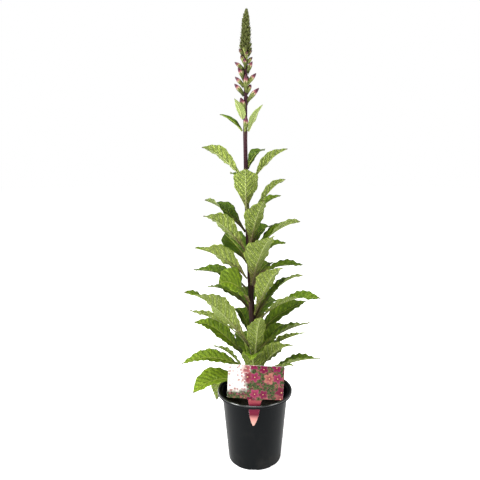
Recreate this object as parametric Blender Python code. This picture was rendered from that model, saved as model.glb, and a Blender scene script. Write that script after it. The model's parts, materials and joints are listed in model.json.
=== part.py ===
"""A foxglove in bud, growing in its round nursery pot, built as separate closed solids.

Metres, +Z up. The origin is the centre of the pot's base, the pot stands on z = 0 and the plant
label faces -Y. Sizes in the tables are millimetres and degrees; an angle round the stem is
counted from +X towards +Y, so 270 faces the front.
"""
from collections import namedtuple
from math import ceil, cos, pi, radians, sin
import random

import bpy
import bmesh
from mathutils import Vector

MM = 0.001
GAP = 0.3                    # running clearance between neighbouring solids
GOLDEN_ANGLE = 137.508       # turn from one bud to the next up the stem
UP = Vector((0, 0, 1))

# ------------------------------------------------------------------ driving dimensions
POT_HEIGHT = 138.0
POT_BASE_RADIUS = 49.6       # outside of the wall, carried down to z = 0
POT_TAPER = 0.0927           # growth of the wall's radius with height
POT_WALL = 1.6
RIM_RADIUS = 70.0
RIM_BEAD = 3.8               # breadth of the rolled bead round the rim
LEDGE_HEIGHT = 133.0         # underside of the ledge between wall and bead
FLOOR_UNDERSIDE = 2.4
FLOOR_TOP = 4.4
BASE_PAD_RADIUS = 14.0
FOOT_RING = (38.0, 45.5)     # inner and outer radius of the ring the pot stands on
POT_SIDES = 40
NOTCHES = 8                  # drainage notches through the foot ring, with a drain between each two
FIRST_NOTCH = -93.0          # angle of the notch at the front
NOTCH_WIDTH = 11.0
NOTCH_HEIGHT = 2.2
DRAIN_RADIUS = 4.5
DRAIN_CIRCLE = 28.0
DRAIN_SIDES = 12
LABEL_SLOT_CLEARANCE = 0.6   # room for the label's tail at each edge of its slot in the ledge
LABEL_SLOT_CUT = 6.0         # height of the slot's cutter

SOIL_TOP = 106.0
SOIL_UNEVENNESS = 1.6
SOIL_MOUND = 1.5             # rise of the soil towards the stem
SOIL_SIDES = 28
SOIL_RINGS = (0.12, 0.34, 0.56, 0.78)   # where the top's rings lie between the stem and the wall

LABEL_PLANE = -64.4          # y of the label's middle plane
LABEL_THICKNESS = 0.8
LABEL_WIDTH = 98.0
LABEL_HEIGHT = 62.0
LABEL_FOOT = 149.6           # height of the card's lower edge at its middle
LABEL_TAIL = 51.0            # length of the tail under the card
LABEL_LEAN = -3.0            # degrees, in the label's own plane
TAIL_TOP_HALF = 12.0
TAIL_SLOT_HALF = 9.6

STEM_SIDES = 10
# height, x of the centre line, radius
STEM = (
    (78, -1.0, 5.0), (112, -1.2, 5.6), (150, -2.0, 5.6), (200, -3.2, 5.5), (250, -4.4, 5.4),
    (300, -6.2, 5.2), (350, -8.6, 5.0), (400, -10.8, 4.7), (450, -12.8, 4.4), (500, -14.6, 4.1),
    (550, -16.0, 3.8), (600, -16.8, 3.6), (650, -16.2, 3.3), (690, -15.4, 3.1), (720, -15.6, 3.4),
    (750, -15.7, 4.4), (772, -15.4, 4.0), (790, -14.8, 2.8), (805, -13.9, 0.8),
)

LEAF_THICKNESS = 0.9
LEAF_SEAT = GAP + 0.15       # from the stem's mean radius to the foot of a leaf's midrib
LEAF_PETIOLE_HALF = 3.0      # half the breadth of the winged stalk where it meets the stem
LEAF_TIP_HALF = 0.5
LANCE_FOOT = 1.8            # how slowly the blade widens from its stalk
LANCE_TIP = 1.2              # how slowly it narrows to its tip
BRACT_FOOT = 0.6             # the same for a bract, which sits on the stem without a stalk
BRACT_TIP = 1.1
MIDRIB_PUSH = 0.42           # share of the chord that the midrib runs on in its first direction
MIDRIB_PULL = 0.26           # the same at the tip, and how much a steep tip adds
MIDRIB_PULL_STEEP = 0.12
HANGING_FROM = 45.0          # a tip that points down more steeply than this hangs in a fuller bow
HANGING_PUSH = 0.30
HANGING_PULL = 0.22
TOOTH_PITCH = 12.0
TOOTH_DEPTH = 0.18           # share of the half breadth that a notch takes away
TOOTHED_FROM = 0.15          # share of the length where the teeth begin
LEAF_FOLD = 22.0             # climb of each half of the blade from the midrib, in degrees
WAVE_TURN = 3.2              # half turns of the edge's wave along the blade
WAVE_OFFSET = 0.9            # how far the two edges' waves are apart, in radians
WAVE_FULL_HALF = 8.0         # half breadth at which a wave has its whole height

Leaf = namedtuple("Leaf", "height facing swing reach rise breadth start end roll twist wave teeth")
"""height on the stem, facing and its change by the tip, reach from the stem's axis, rise of the tip,
full breadth, climb of the midrib at both ends, roll at the base end and extra roll at the tip,
height of the edge's waves; teeth scales the notches."""

LEAVES = (
    Leaf(119, 312, 7, 92, 90, 32, 56, 0, -16, 0, 1.5, 0.8),
    Leaf(122, 274, -9, 60, 94, 44, 70, -52, 0, 0, 1.5, 1),
    Leaf(133, 138, 9, 89, -46, 50, 72, -86, 0, 50, 1.5, 1),
    Leaf(134, 76, 6, 104, 40, 38, 58, -24, 0, 10, 2.0, 1),
    Leaf(140, 204, 4, 122, 16, 52, 44, -44, -8, -6, 1.5, 0.3),
    Leaf(143, 351, -2, 124, 64, 36, 58, 4, 10, -40, 3.0, 0.8),
    Leaf(150, 112, -6, 110, 60, 38, 58, -20, 0, -10, 2.0, 1),
    Leaf(157, 207, -1, 86, 80, 20, 62, 12, 6, 20, 2.0, 1),
    Leaf(164, 169, 7, 136, 18, 34, 44, -30, -20, 0, 2.0, 0.7),
    Leaf(168, 326, 2, 84, 72, 38, 60, 8, -34, 0, 3.0, 0.7),
    Leaf(174, 46, 8, 104, 60, 36, 58, -18, 0, 12, 2.0, 1),
    Leaf(183, 284, 0, 54, 112, 36, 74, 40, 0, 0, 2.0, 0.7),
    Leaf(188, 160, 2, 120, 66, 36, 46, -16, -28, 8, 2.5, 0.8),
    Leaf(197, 350, 0, 98, 57, 26, 50, 14, -24, 0, 2.5, 1),
    Leaf(202, 82, 6, 98, 70, 38, 64, -12, 0, 10, 2.0, 1),
    Leaf(209, 8, -4, 106, 55, 32, 48, 10, 14, -60, 3.0, 1),
    Leaf(214, 142, 28, 122, 70, 26, 48, 14, 26, 20, 3.0, 1),
    Leaf(226, 204, -2, 128, 112, 56, 54, 14, 66, -96, 2.0, 0.8),
    Leaf(230, 30, -8, 112, 66, 44, 58, 18, 26, -30, 1.5, 0.6),
    Leaf(238, 122, 0, 60, 40, 30, 60, -20, 0, 0, 1.5, 0.8),
    Leaf(254, 66, -4, 118, 18, 42, 60, -40, 6, 0, 2.0, 0.8),
    Leaf(262, 334, 8, 126, 62, 36, 60, -10, -24, 60, 2.0, 0.8),
    Leaf(268, 102, 2, 92, 42, 38, 60, -24, 0, 10, 2.0, 1),
    Leaf(276, 20, 2, 104, 70, 30, 62, -8, 20, -80, 1.5, 1),
    Leaf(284, 326, -9, 74, 98, 46, 66, 24, -10, 0, 2.0, 0.8),
    Leaf(292, 152, 0, 98, 30, 32, 52, -14, -10, 20, 2.0, 1),
    Leaf(308, 228, -4, 77, 46, 58, 60, -20, -52, 0, 2.0, 0.6),
    Leaf(330, 166, 4, 108, 32, 38, 46, 0, -12, 10, 2.0, 1),
    Leaf(322, 64, -6, 72, 44, 42, 68, -20, 0, 0, 2.0, 0.7),
    Leaf(340, 294, 4, 78, 98, 58, 66, 26, 0, 10, 2.0, 0.7),
    Leaf(350, 8, 2, 100, 22, 26, 44, -2, 12, 0, 2.0, 0.8),
    Leaf(352, 202, -6, 100, 60, 50, 52, 14, 62, -80, 2.0, 0.8),
    Leaf(370, 50, -6, 98, 34, 26, 52, -10, 0, 20, 2.0, 0.8),
    Leaf(378, 136, 0, 66, 48, 50, 56, 30, -30, 0, 1.5, 0.5),
    Leaf(392, 342, 20, 92, 62, 44, 60, 4, 20, -70, 1.5, 0.8),
    Leaf(402, 206, -4, 84, 66, 42, 54, 8, 50, -40, 2.0, 0.8),
    Leaf(412, 298, 4, 50, 84, 44, 68, 44, 0, 0, 1.5, 0.7),
    Leaf(406, 48, -4, 58, 32, 42, 60, -30, 0, 0, 1.5, 0.6),
    Leaf(436, 150, 8, 86, 54, 44, 48, 12, -26, 66, 1.5, 0.6),
    Leaf(452, 38, -4, 74, 46, 26, 56, 8, 0, 10, 1.5, 0.8),
    Leaf(466, 338, 8, 68, 64, 30, 50, 20, 10, -56, 1.2, 0.8),
    Leaf(478, 263, 4, 44, 71, 47, 66, 50, 0, 0, 1.2, 0.5),
    Leaf(500, 132, 4, 41, 38, 27, 72, -20, 0, 0, 1.0, 0.6),
    Leaf(520, 356, -2, 72, 62, 30, 56, 20, -28, 10, 1.0, 0.7),
    Leaf(530, 192, 0, 77, 54, 33, 52, 8, 40, -20, 1.2, 0.8),
    Leaf(548, 48, 0, 50, 32, 28, 64, -6, 0, 0, 1.0, 0.6),
)

# The leaf-like bracts under the lowest buds: the same rows as the leaves, in smooth outline.
BRACTS = (
    Leaf(613, 178, 0, 44, 27, 9, 46, 10, -44, 0, 0.5, 0),
    Leaf(612, 354, 3, 30, 44, 16, 60, 50, -38, 0, 0.5, 0),
    Leaf(632, 212, 3, 22, 33, 14, 70, 56, 30, 0, 0.3, 0),
)

Bud = namedtuple("Bud", "height facing length lean breadth")
"""height on the stem, facing, length from the stem's axis, lean away from upright, full breadth."""

BUDS = (
    Bud(611, 281, 28, 18, 8.8), Bud(643, 205, 27, 16, 10.0), Bud(652, 75, 24, 30, 7.6),
    Bud(660, 352, 33, 42, 8.2), Bud(670, 186, 28, 40, 8.0), Bud(674, 34, 20, 30, 8.0),
    Bud(676, 272, 31, 12, 8.0), Bud(684, 174, 26, 42, 7.0), Bud(688, 8, 27, 38, 7.4),
    Bud(690, 70, 18, 30, 7.0), Bud(694, 212, 27, 32, 7.2), Bud(702, 110, 20, 38, 6.8),
    Bud(706, 345, 24, 26, 7.2), Bud(712, 180, 23, 50, 6.4), Bud(715, 255, 18, 18, 6.4),
    Bud(721, 75, 16, 34, 6.0), Bud(722, 12, 17, 38, 5.8), Bud(723, 205, 16, 30, 6.0),
    Bud(729, 290, 15, 22, 5.8), Bud(730, 140, 14, 34, 5.6), Bud(734, 350, 15, 38, 5.4),
    Bud(735, 190, 16, 40, 5.4), Bud(739, 245, 14, 26, 5.4), Bud(741, 60, 14, 34, 5.2),
)
TIP_BUDS = 44                # small buds crowded on the stem's end, each value from first to last
TIP_BUD_HEIGHT = (743.0, 803.0)
TIP_BUD_LENGTH = (14.0, 10.0)
TIP_BUD_LEAN = (38.0, 8.0)
TIP_BUD_BREADTH = (6.0, 4.2)
# share of a bud's length, share of its half breadth
BUD_OUTLINE = ((0.0, 0.35), (0.22, 0.72), (0.5, 1.0), (0.78, 0.82), (1.0, 0.22))
TIP_BUD_OUTLINE = ((0.0, 0.6), (0.5, 1.0), (1.0, 0.16))
BUD_SIDES = 5
TIP_BUD_SIDES = 4
BUD_ROOT = 0.3               # share of the stem's radius where a bud starts

# ------------------------------------------------------------------ colours
BLACK_PLASTIC = ((0.012, 0.013, 0.014), 0.42)
PEAT = ((0.030, 0.020, 0.013), 0.95)
PRINTED_CARD = ((0.55, 0.10, 0.22), 0.35)
PLUM_STEM = ((0.085, 0.018, 0.045), 0.50)
LEAF_GREEN = ((0.16, 0.26, 0.045), 0.55)


def finish(name, look):
    """One Principled material from a colour and a roughness."""
    colour, roughness = look
    material = bpy.data.materials.new(name)
    material.use_nodes = True
    shader = material.node_tree.nodes["Principled BSDF"]
    shader.inputs["Base Color"].default_value = (*colour, 1)
    shader.inputs["Roughness"].default_value = roughness
    shader.inputs["Metallic"].default_value = 0
    material.diffuse_color = (*colour, 1)
    return material


def solid(name, points, faces, material=None, smooth_angle=None):
    """An object from points in millimetres and faces that turn outwards."""
    mesh = bpy.data.meshes.new(name)
    mesh.from_pydata([Vector(p) * MM for p in points], [], faces)
    mesh.validate()
    if material:
        mesh.materials.append(material)
    if smooth_angle is not None:
        mesh.shade_smooth()
        mesh.set_sharp_from_angle(angle=radians(smooth_angle))
    part = bpy.data.objects.new(name, mesh)
    bpy.context.scene.collection.objects.link(part)
    return part


def turned(name, profile, sides, material=None):
    """A closed profile of (radius, height) points, anticlockwise with the axis on its left, turned about
    Z with a spin. Points on the axis are shared."""
    mesh = bpy.data.meshes.new(name)
    form = bmesh.new()
    points = [form.verts.new((r * MM, 0, z * MM)) for r, z in profile]
    loop = [form.edges.new(pair) for pair in zip(points, points[1:] + points[:1])]
    if profile[0][0] == 0:
        form.edges.remove(loop.pop())
    bmesh.ops.spin(form, geom=form.verts[:] + loop, axis=(0, 0, 1), cent=(0, 0, 0),
                   angle=2 * pi, steps=sides, use_merge=True)
    bmesh.ops.remove_doubles(form, verts=form.verts, dist=0.00001)
    bmesh.ops.recalc_face_normals(form, faces=form.faces)
    form.to_mesh(mesh)
    form.free()
    if material:
        mesh.materials.append(material)
    mesh.shade_smooth()
    mesh.set_sharp_from_angle(angle=radians(35))
    part = bpy.data.objects.new(name, mesh)
    bpy.context.scene.collection.objects.link(part)
    return part


def apply_modifiers(part):
    """Replaces the object's mesh by its evaluated one."""
    graph = bpy.context.evaluated_depsgraph_get()
    shape = bpy.data.meshes.new_from_object(part.evaluated_get(graph))
    part.modifiers.clear()
    part.data = shape


def combine(part, others, operation):
    """One Boolean of a collection of helper solids with the part, applied; the helpers go."""
    group = bpy.data.collections.new(part.name + "_helpers")
    bpy.context.scene.collection.children.link(group)
    for helper in others:
        bpy.context.scene.collection.objects.unlink(helper)
        group.objects.link(helper)
    boolean = part.modifiers.new(operation.title(), "BOOLEAN")
    boolean.operation = operation
    boolean.operand_type = "COLLECTION"
    boolean.collection = group
    boolean.solver = "EXACT"
    apply_modifiers(part)
    for helper in others:
        bpy.data.objects.remove(helper)
    bpy.data.collections.remove(group)


def box(name, centre, size, turn=0.0):
    """A block with its centre and size in millimetres, turned about Z through the origin."""
    x, y, z = (s / 2 for s in size)
    corners = [(sx * x, sy * y, sz * z) for sx in (-1, 1) for sy in (-1, 1) for sz in (-1, 1)]
    faces = [(0, 1, 3, 2), (4, 6, 7, 5), (0, 4, 5, 1), (2, 3, 7, 6), (0, 2, 6, 4), (1, 5, 7, 3)]
    c, s = cos(turn), sin(turn)
    points = []
    for px, py, pz in corners:
        px, py, pz = px + centre[0], py + centre[1], pz + centre[2]
        points.append((c * px - s * py, s * px + c * py, pz))
    return solid(name, points, faces)


def loft(name, rings, material=None, smooth_angle=50):
    """Rings of equal length skinned one to the next and closed by flat ends. Rings run anticlockwise
    seen from the end that the loft goes towards."""
    sides = len(rings[0])
    points = [p for ring in rings for p in ring]
    faces = [tuple(reversed(range(sides)))]
    for i in range(len(rings) - 1):
        for k in range(sides):
            a, b = i * sides + k, i * sides + (k + 1) % sides
            faces.append((a, b, b + sides, a + sides))
    last = (len(rings) - 1) * sides
    faces.append(tuple(range(last, last + sides)))
    return solid(name, points, faces, material, smooth_angle)


def ring(centre, along, radius, sides, start=0.0):
    """Points of a circle square to a direction."""
    side = along.orthogonal().normalized()
    other = along.cross(side)
    steps = (start + 2 * pi * k / sides for k in range(sides))
    return [centre + radius * (cos(t) * side + sin(t) * other) for t in steps]


def stem_at(height):
    """The stem's centre and radius at a height, straight between the table's rows."""
    for (z0, x0, r0), (z1, x1, r1) in zip(STEM, STEM[1:]):
        if height <= z1:
            share = (height - z0) / (z1 - z0)
            return Vector((x0 + share * (x1 - x0), 0, height)), r0 + share * (r1 - r0)
    z, x, r = STEM[-1]
    return Vector((x, 0, z)), r


def heading(degrees):
    return Vector((cos(radians(degrees)), sin(radians(degrees)), 0))


def wall_radius(height):
    return POT_BASE_RADIUS + POT_TAPER * height


# ------------------------------------------------------------------ pot, soil and label
def build_pot():
    inner, outer = FOOT_RING
    bead_in = RIM_RADIUS - RIM_BEAD
    ledge_in = wall_radius(LEDGE_HEIGHT)
    profile = [
        (0, 0), (BASE_PAD_RADIUS, 0), (BASE_PAD_RADIUS + 1.5, FLOOR_UNDERSIDE),
        (inner - 1.2, FLOOR_UNDERSIDE), (inner, 0), (outer, 0),
        (wall_radius(1) - 1.2, 1.2), (wall_radius(4), 4), (ledge_in, LEDGE_HEIGHT),
        (bead_in - 0.4, LEDGE_HEIGHT + 0.4), (bead_in + 0.2, LEDGE_HEIGHT - 1.0),
        (RIM_RADIUS - 1.0, LEDGE_HEIGHT - 1.2), (RIM_RADIUS, LEDGE_HEIGHT + 0.2),
        (RIM_RADIUS, POT_HEIGHT - 1.6), (RIM_RADIUS - 0.7, POT_HEIGHT - 0.4),
        (RIM_RADIUS - 1.9, POT_HEIGHT), (bead_in + 0.7, POT_HEIGHT - 0.4),
        (bead_in, LEDGE_HEIGHT + 2.2), (ledge_in - 0.8, LEDGE_HEIGHT + 1.8),
        (ledge_in - POT_WALL, LEDGE_HEIGHT), (wall_radius(8) - POT_WALL, 8),
        (wall_radius(8) - POT_WALL - 3.6, FLOOR_TOP), (0, FLOOR_TOP),
    ]
    pot = turned("pot", profile, POT_SIDES, finish("black_plastic", BLACK_PLASTIC))
    cutters = []
    for k in range(NOTCHES):
        turn = radians(FIRST_NOTCH + k * 360 / NOTCHES)
        cutters.append(box(f"notch_{k}", ((inner + wall_radius(0)) / 2 + 1, 0, 0),
                           (wall_radius(0) - inner + 4, NOTCH_WIDTH, 2 * NOTCH_HEIGHT), turn))
        middle = DRAIN_CIRCLE * heading(FIRST_NOTCH + (k + 0.5) * 360 / NOTCHES)
        levels = (FLOOR_UNDERSIDE - 1, FLOOR_TOP + 1)
        ends = [ring(middle + z * UP, UP, DRAIN_RADIUS, DRAIN_SIDES) for z in levels]
        cutters.append(loft(f"drain_{k}", ends))
    ledge_middle = LEDGE_HEIGHT + 1.5
    slot = label_point(0, ledge_middle - LABEL_FOOT)
    cutters.append(box("label_slot", (slot.x, LABEL_PLANE, ledge_middle),
                       (2 * (TAIL_SLOT_HALF + LABEL_SLOT_CLEARANCE), LABEL_THICKNESS + 2 * GAP,
                        LABEL_SLOT_CUT)))
    combine(pot, cutters, "DIFFERENCE")
    return pot


def build_soil():
    """The filling of potting soil, with an uneven top and a plain hole for the stem."""
    draw = random.Random(7)
    stem, stem_radius = stem_at(SOIL_TOP)
    hole = stem_radius + GAP
    sides = SOIL_SIDES
    floor = FLOOR_TOP + GAP
    below = STEM[0][0] - GAP

    def outer(height):
        return wall_radius(height) - POT_WALL - 2 * GAP

    def circle(radius, height, centre=(0, 0), rough=0.0):
        points = []
        for k in range(sides):
            t = 2 * pi * k / sides
            z = height + rough * draw.uniform(-1, 1)
            points.append((centre[0] + radius * cos(t), centre[1] + radius * sin(t), z))
        return points

    middle = (stem.x, stem.y)
    rings = [circle(hole, below, middle), circle(hole, SOIL_TOP, middle)]
    for share in SOIL_RINGS:
        radius = hole + share * (outer(SOIL_TOP) - hole)
        centre = tuple(c * (1 - share) for c in middle)
        rings.append(circle(radius, SOIL_TOP + SOIL_MOUND * (1 - share), centre, SOIL_UNEVENNESS))
    rings += [circle(outer(SOIL_TOP), SOIL_TOP - 1), circle(outer(8) - 0.6, 8.6),
              circle(outer(8) - 4.4, floor)]
    points = [p for one in rings for p in one] + [(middle[0], middle[1], below), (0, 0, floor)]
    pit, base = len(points) - 2, len(points) - 1
    faces = []
    for i in range(len(rings) - 1):
        for k in range(sides):
            a, b = i * sides + k, i * sides + (k + 1) % sides
            faces += [(a, a + sides, b), (b, a + sides, b + sides)]
    last = (len(rings) - 1) * sides
    for k in range(sides):
        faces.append((pit, k, (k + 1) % sides))
        faces.append((base, last + (k + 1) % sides, last + k))
    return solid("soil", points, faces, finish("peat", PEAT))


def label_point(across, up, depth=0.0):
    """A point of the label from its place across and above the middle of the card's lower edge."""
    c, s = cos(radians(LABEL_LEAN)), sin(radians(LABEL_LEAN))
    return Vector((c * across - s * up, LABEL_PLANE + depth, LABEL_FOOT + s * across + c * up))


def build_label():
    """The picture label: one flat card with rounded corners and a tail that tapers to a point."""
    half, corner = LABEL_WIDTH / 2, 2.5
    outline = []
    for sx, sy in ((-1, 1), (-1, 0), (1, 0), (1, 1)):
        cx = sx * (half - corner)
        cy = corner if sy == 0 else LABEL_HEIGHT - corner
        start = {(-1, 1): 90, (-1, 0): 180, (1, 0): 270, (1, 1): 0}[sx, sy]
        for step in range(4):
            t = radians(start + 30 * step)
            outline.append((cx + corner * cos(t), cy + corner * sin(t)))
        if (sx, sy) == (-1, 0):
            outline += [(-TAIL_TOP_HALF - 3, 0), (-TAIL_TOP_HALF, -2.5), (-TAIL_SLOT_HALF, -14),
                        (-9.3, -24), (-7.6, -34), (-4.6, -44), (-1.2, -LABEL_TAIL),
                        (1.2, -LABEL_TAIL), (4.6, -44), (7.6, -34), (9.3, -24),
                        (TAIL_SLOT_HALF, -14), (TAIL_TOP_HALF, -2.5), (TAIL_TOP_HALF + 3, 0)]
    count = len(outline)
    half_depth = LABEL_THICKNESS / 2
    points = [label_point(x, z, -half_depth) for x, z in outline]
    points += [label_point(x, z, half_depth) for x, z in outline]
    faces = [tuple(range(count)), tuple(reversed(range(count, 2 * count)))]
    for k in range(count):
        n = (k + 1) % count
        faces.append((k, k + count, n + count, n))
    return solid("label", points, faces, finish("printed_card", PRINTED_CARD), 30)


# ------------------------------------------------------------------ leaves
def midrib(leaf):
    """Points and directions along the leaf's midrib: one cubic curve from the stem to the tip."""
    foot, stem_radius = stem_at(leaf.height)
    start = foot + (stem_radius + LEAF_SEAT + LEAF_THICKNESS / 2) * heading(leaf.facing)
    tip_heading = heading(leaf.facing + leaf.swing)
    end = foot + leaf.reach * tip_heading + leaf.rise * UP
    chord = (end - start).length
    out = cos(radians(leaf.start)) * heading(leaf.facing) + sin(radians(leaf.start)) * UP
    away = cos(radians(leaf.end)) * tip_heading + sin(radians(leaf.end)) * UP
    hang = max(0, -leaf.end - HANGING_FROM) / (90 - HANGING_FROM)
    push = MIDRIB_PUSH + HANGING_PUSH * hang
    pull = MIDRIB_PULL + MIDRIB_PULL_STEEP * abs(leaf.end) / 90 + HANGING_PULL * hang
    controls = (start, start + push * chord * out, end - pull * chord * away, end)
    teeth = max(5, ceil(1.08 * chord / TOOTH_PITCH))
    count = 2 * teeth + 1 if leaf.teeth else teeth + 1
    places, ways = [], []
    for k in range(count):
        t = k / (count - 1)
        s = 1 - t
        a, b, c, d = controls
        places.append(s**3 * a + 3 * s * s * t * b + 3 * s * t * t * c + t**3 * d)
        ways.append((s * s * (b - a) + 2 * s * t * (c - b) + t * t * (d - c)).normalized())
    return places, ways


def half_breadth(leaf, t):
    """Half the blade's breadth at a share t of its length: a winged stalk that widens to a lance."""
    foot, tip = (LANCE_FOOT, LANCE_TIP) if leaf.teeth else (BRACT_FOOT, BRACT_TIP)
    widest = foot / (foot + tip)
    lance = (t / widest) ** foot * ((1 - t) / (1 - widest)) ** tip
    return leaf.breadth / 2 * lance + LEAF_PETIOLE_HALF * (1 - t) ** 2 + LEAF_TIP_HALF * t


def build_leaf(name, leaf, material):
    """A folded, waved and toothed blade, with the same triangles on its two faces."""
    places, ways = midrib(leaf)
    count = len(places)
    upper, lower = [], []
    for k, (place, way) in enumerate(zip(places, ways)):
        t = k / (count - 1)
        level = UP.cross(way).normalized()
        face = way.cross(level)
        roll = radians(leaf.roll * min(1, 2.5 * t) + leaf.twist * t * t)
        across = cos(roll) * level + sin(roll) * face
        face = way.cross(across)
        half = half_breadth(leaf, t)
        if k % 2 and t > TOOTHED_FROM:
            half *= 1 - TOOTH_DEPTH * leaf.teeth
        fold = radians(LEAF_FOLD) * min(1, 3 * t)
        sway = leaf.wave * sin(pi * t) ** 0.5 * min(1, half / WAVE_FULL_HALF)
        for side in (-1, 0, 1):
            swing = sin(WAVE_TURN * pi * t + side * WAVE_OFFSET)
            lift = abs(side) * half * sin(fold) + side * sway * swing
            middle = place + side * half * cos(fold) * across + lift * face
            upper.append(middle + LEAF_THICKNESS / 2 * face)
            lower.append(middle - LEAF_THICKNESS / 2 * face)
    size = len(upper)
    faces = []
    for k in range(count - 1):
        a = 3 * k
        for one in ((a, a + 4, a + 1), (a, a + 3, a + 4), (a + 1, a + 4, a + 2), (a + 2, a + 4, a + 5)):
            faces.append(one)
            faces.append(tuple(size + i for i in reversed(one)))
        faces += [(a, size + a + 3, a + 3), (a, size + a, size + a + 3)]
        b = a + 2
        faces += [(b, size + b + 3, size + b), (b, b + 3, size + b + 3)]
    end = 3 * (count - 1)
    for k in (0, 1):
        faces += [(k, size + k + 1, size + k), (k, k + 1, size + k + 1)]
        e = end + k
        faces += [(e, size + e + 1, e + 1), (e, size + e, size + e + 1)]
    return solid(name, upper + lower, faces, material, 40)


def build_leaves():
    for k, leaf in enumerate(LEAVES):
        name = f"leaf_{k + 1:02d}"
        build_leaf(name, leaf, finish(name + "_green", LEAF_GREEN))
    for k, bract in enumerate(BRACTS):
        name = f"bract_{k + 1}"
        build_leaf(name, bract, finish(name + "_green", LEAF_GREEN))


# ------------------------------------------------------------------ flower spike
def build_bud(name, bud, sides, outline):
    """A spindle from inside the stem out to the bud's tip."""
    foot, stem_radius = stem_at(bud.height)
    lean = radians(bud.lean)
    along = (sin(lean) * heading(bud.facing) + cos(lean) * UP).normalized()
    start = foot + BUD_ROOT * stem_radius * heading(bud.facing)
    half = bud.breadth / 2
    rings = [ring(start + share * bud.length * along, along, size * half, sides) for share, size in outline]
    return loft(name, rings)


def between(ends, share):
    first, last = ends
    return first + share * (last - first)


def build_spike():
    """The stem with its buds, from the big lower ones to the crowded green tip, fused as one body."""
    rings = []
    for k, (height, x, radius) in enumerate(STEM):
        before, after = STEM[max(k - 1, 0)], STEM[min(k + 1, len(STEM) - 1)]
        along = Vector((after[1] - before[1], 0, after[0] - before[0])).normalized()
        rings.append(ring(Vector((x, 0, height)), along, radius, STEM_SIDES))
    spike = loft("flower_spike", rings, finish("plum_stem", PLUM_STEM))
    buds = [build_bud(f"bud_{k}", bud, BUD_SIDES, BUD_OUTLINE) for k, bud in enumerate(BUDS)]
    for k in range(TIP_BUDS):
        share = k / (TIP_BUDS - 1)
        small = Bud(between(TIP_BUD_HEIGHT, share), k * GOLDEN_ANGLE, between(TIP_BUD_LENGTH, share),
                    between(TIP_BUD_LEAN, share), between(TIP_BUD_BREADTH, share))
        buds.append(build_bud(f"tip_bud_{k}", small, TIP_BUD_SIDES, TIP_BUD_OUTLINE))
    combine(spike, buds, "UNION")
    return spike


def main():
    for part in list(bpy.data.objects):
        bpy.data.objects.remove(part)
    build_pot()
    build_soil()
    build_label()
    build_leaves()
    build_spike()


main()
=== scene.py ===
"""The looks of a potted foxglove in bud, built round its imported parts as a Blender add-on.

Run as a script, it loads the parts, dresses each of them with a finer piece and sets up the stage.
The tables repeat the plant's own measures in millimetres and degrees. An angle round the stem is
counted from +X towards +Y, so 270 faces the front.
"""
from collections import namedtuple
from math import asin, atan2, cos, degrees, pi, radians, sin
import json
import random

import bmesh
import bpy
import numpy as np
from bpy.props import FloatProperty, FloatVectorProperty, IntProperty, PointerProperty
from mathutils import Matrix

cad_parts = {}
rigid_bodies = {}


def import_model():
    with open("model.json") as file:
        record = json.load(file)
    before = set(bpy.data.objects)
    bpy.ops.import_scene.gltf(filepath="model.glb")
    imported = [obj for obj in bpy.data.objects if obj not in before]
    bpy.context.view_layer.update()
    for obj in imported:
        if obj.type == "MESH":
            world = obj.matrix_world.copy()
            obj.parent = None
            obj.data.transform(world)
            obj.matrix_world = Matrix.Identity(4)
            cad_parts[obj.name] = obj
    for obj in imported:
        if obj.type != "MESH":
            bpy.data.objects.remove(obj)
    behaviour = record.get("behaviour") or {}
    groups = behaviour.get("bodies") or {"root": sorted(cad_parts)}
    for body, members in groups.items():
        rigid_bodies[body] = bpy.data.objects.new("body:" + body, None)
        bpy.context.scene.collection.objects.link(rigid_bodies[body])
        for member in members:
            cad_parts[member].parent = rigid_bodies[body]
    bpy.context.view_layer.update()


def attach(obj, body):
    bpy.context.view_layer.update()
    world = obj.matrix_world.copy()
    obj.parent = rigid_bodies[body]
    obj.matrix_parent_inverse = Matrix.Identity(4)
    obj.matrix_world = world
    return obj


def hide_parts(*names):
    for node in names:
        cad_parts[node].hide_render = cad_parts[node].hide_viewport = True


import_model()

bl_info = {
    "name": "Potted foxglove",
    "version": (1, 0, 0),
    "blender": (4, 5, 0),
    "location": "3D View > Sidebar > Foxglove",
    "description": "Builds the visible pieces of a potted foxglove in bud",
    "category": "Object",
}

MM = 0.001
GOLDEN_ANGLE = 137.508
UP = np.array((0.0, 0.0, 1.0))

# ------------------------------------------------------------------ the plant's measures
# height, x of the stem's centre line, radius
STEM = np.array((
    (78, -1.0, 5.0), (112, -1.2, 5.6), (150, -2.0, 5.6), (200, -3.2, 5.5), (250, -4.4, 5.4),
    (300, -6.2, 5.2), (350, -8.6, 5.0), (400, -10.8, 4.7), (450, -12.8, 4.4), (500, -14.6, 4.1),
    (550, -16.0, 3.8), (600, -16.8, 3.6), (650, -16.2, 3.3), (690, -15.4, 3.1), (720, -15.6, 3.4),
    (750, -15.7, 4.4), (772, -15.4, 4.0), (790, -14.8, 2.8), (805, -13.9, 0.8),
))

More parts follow.
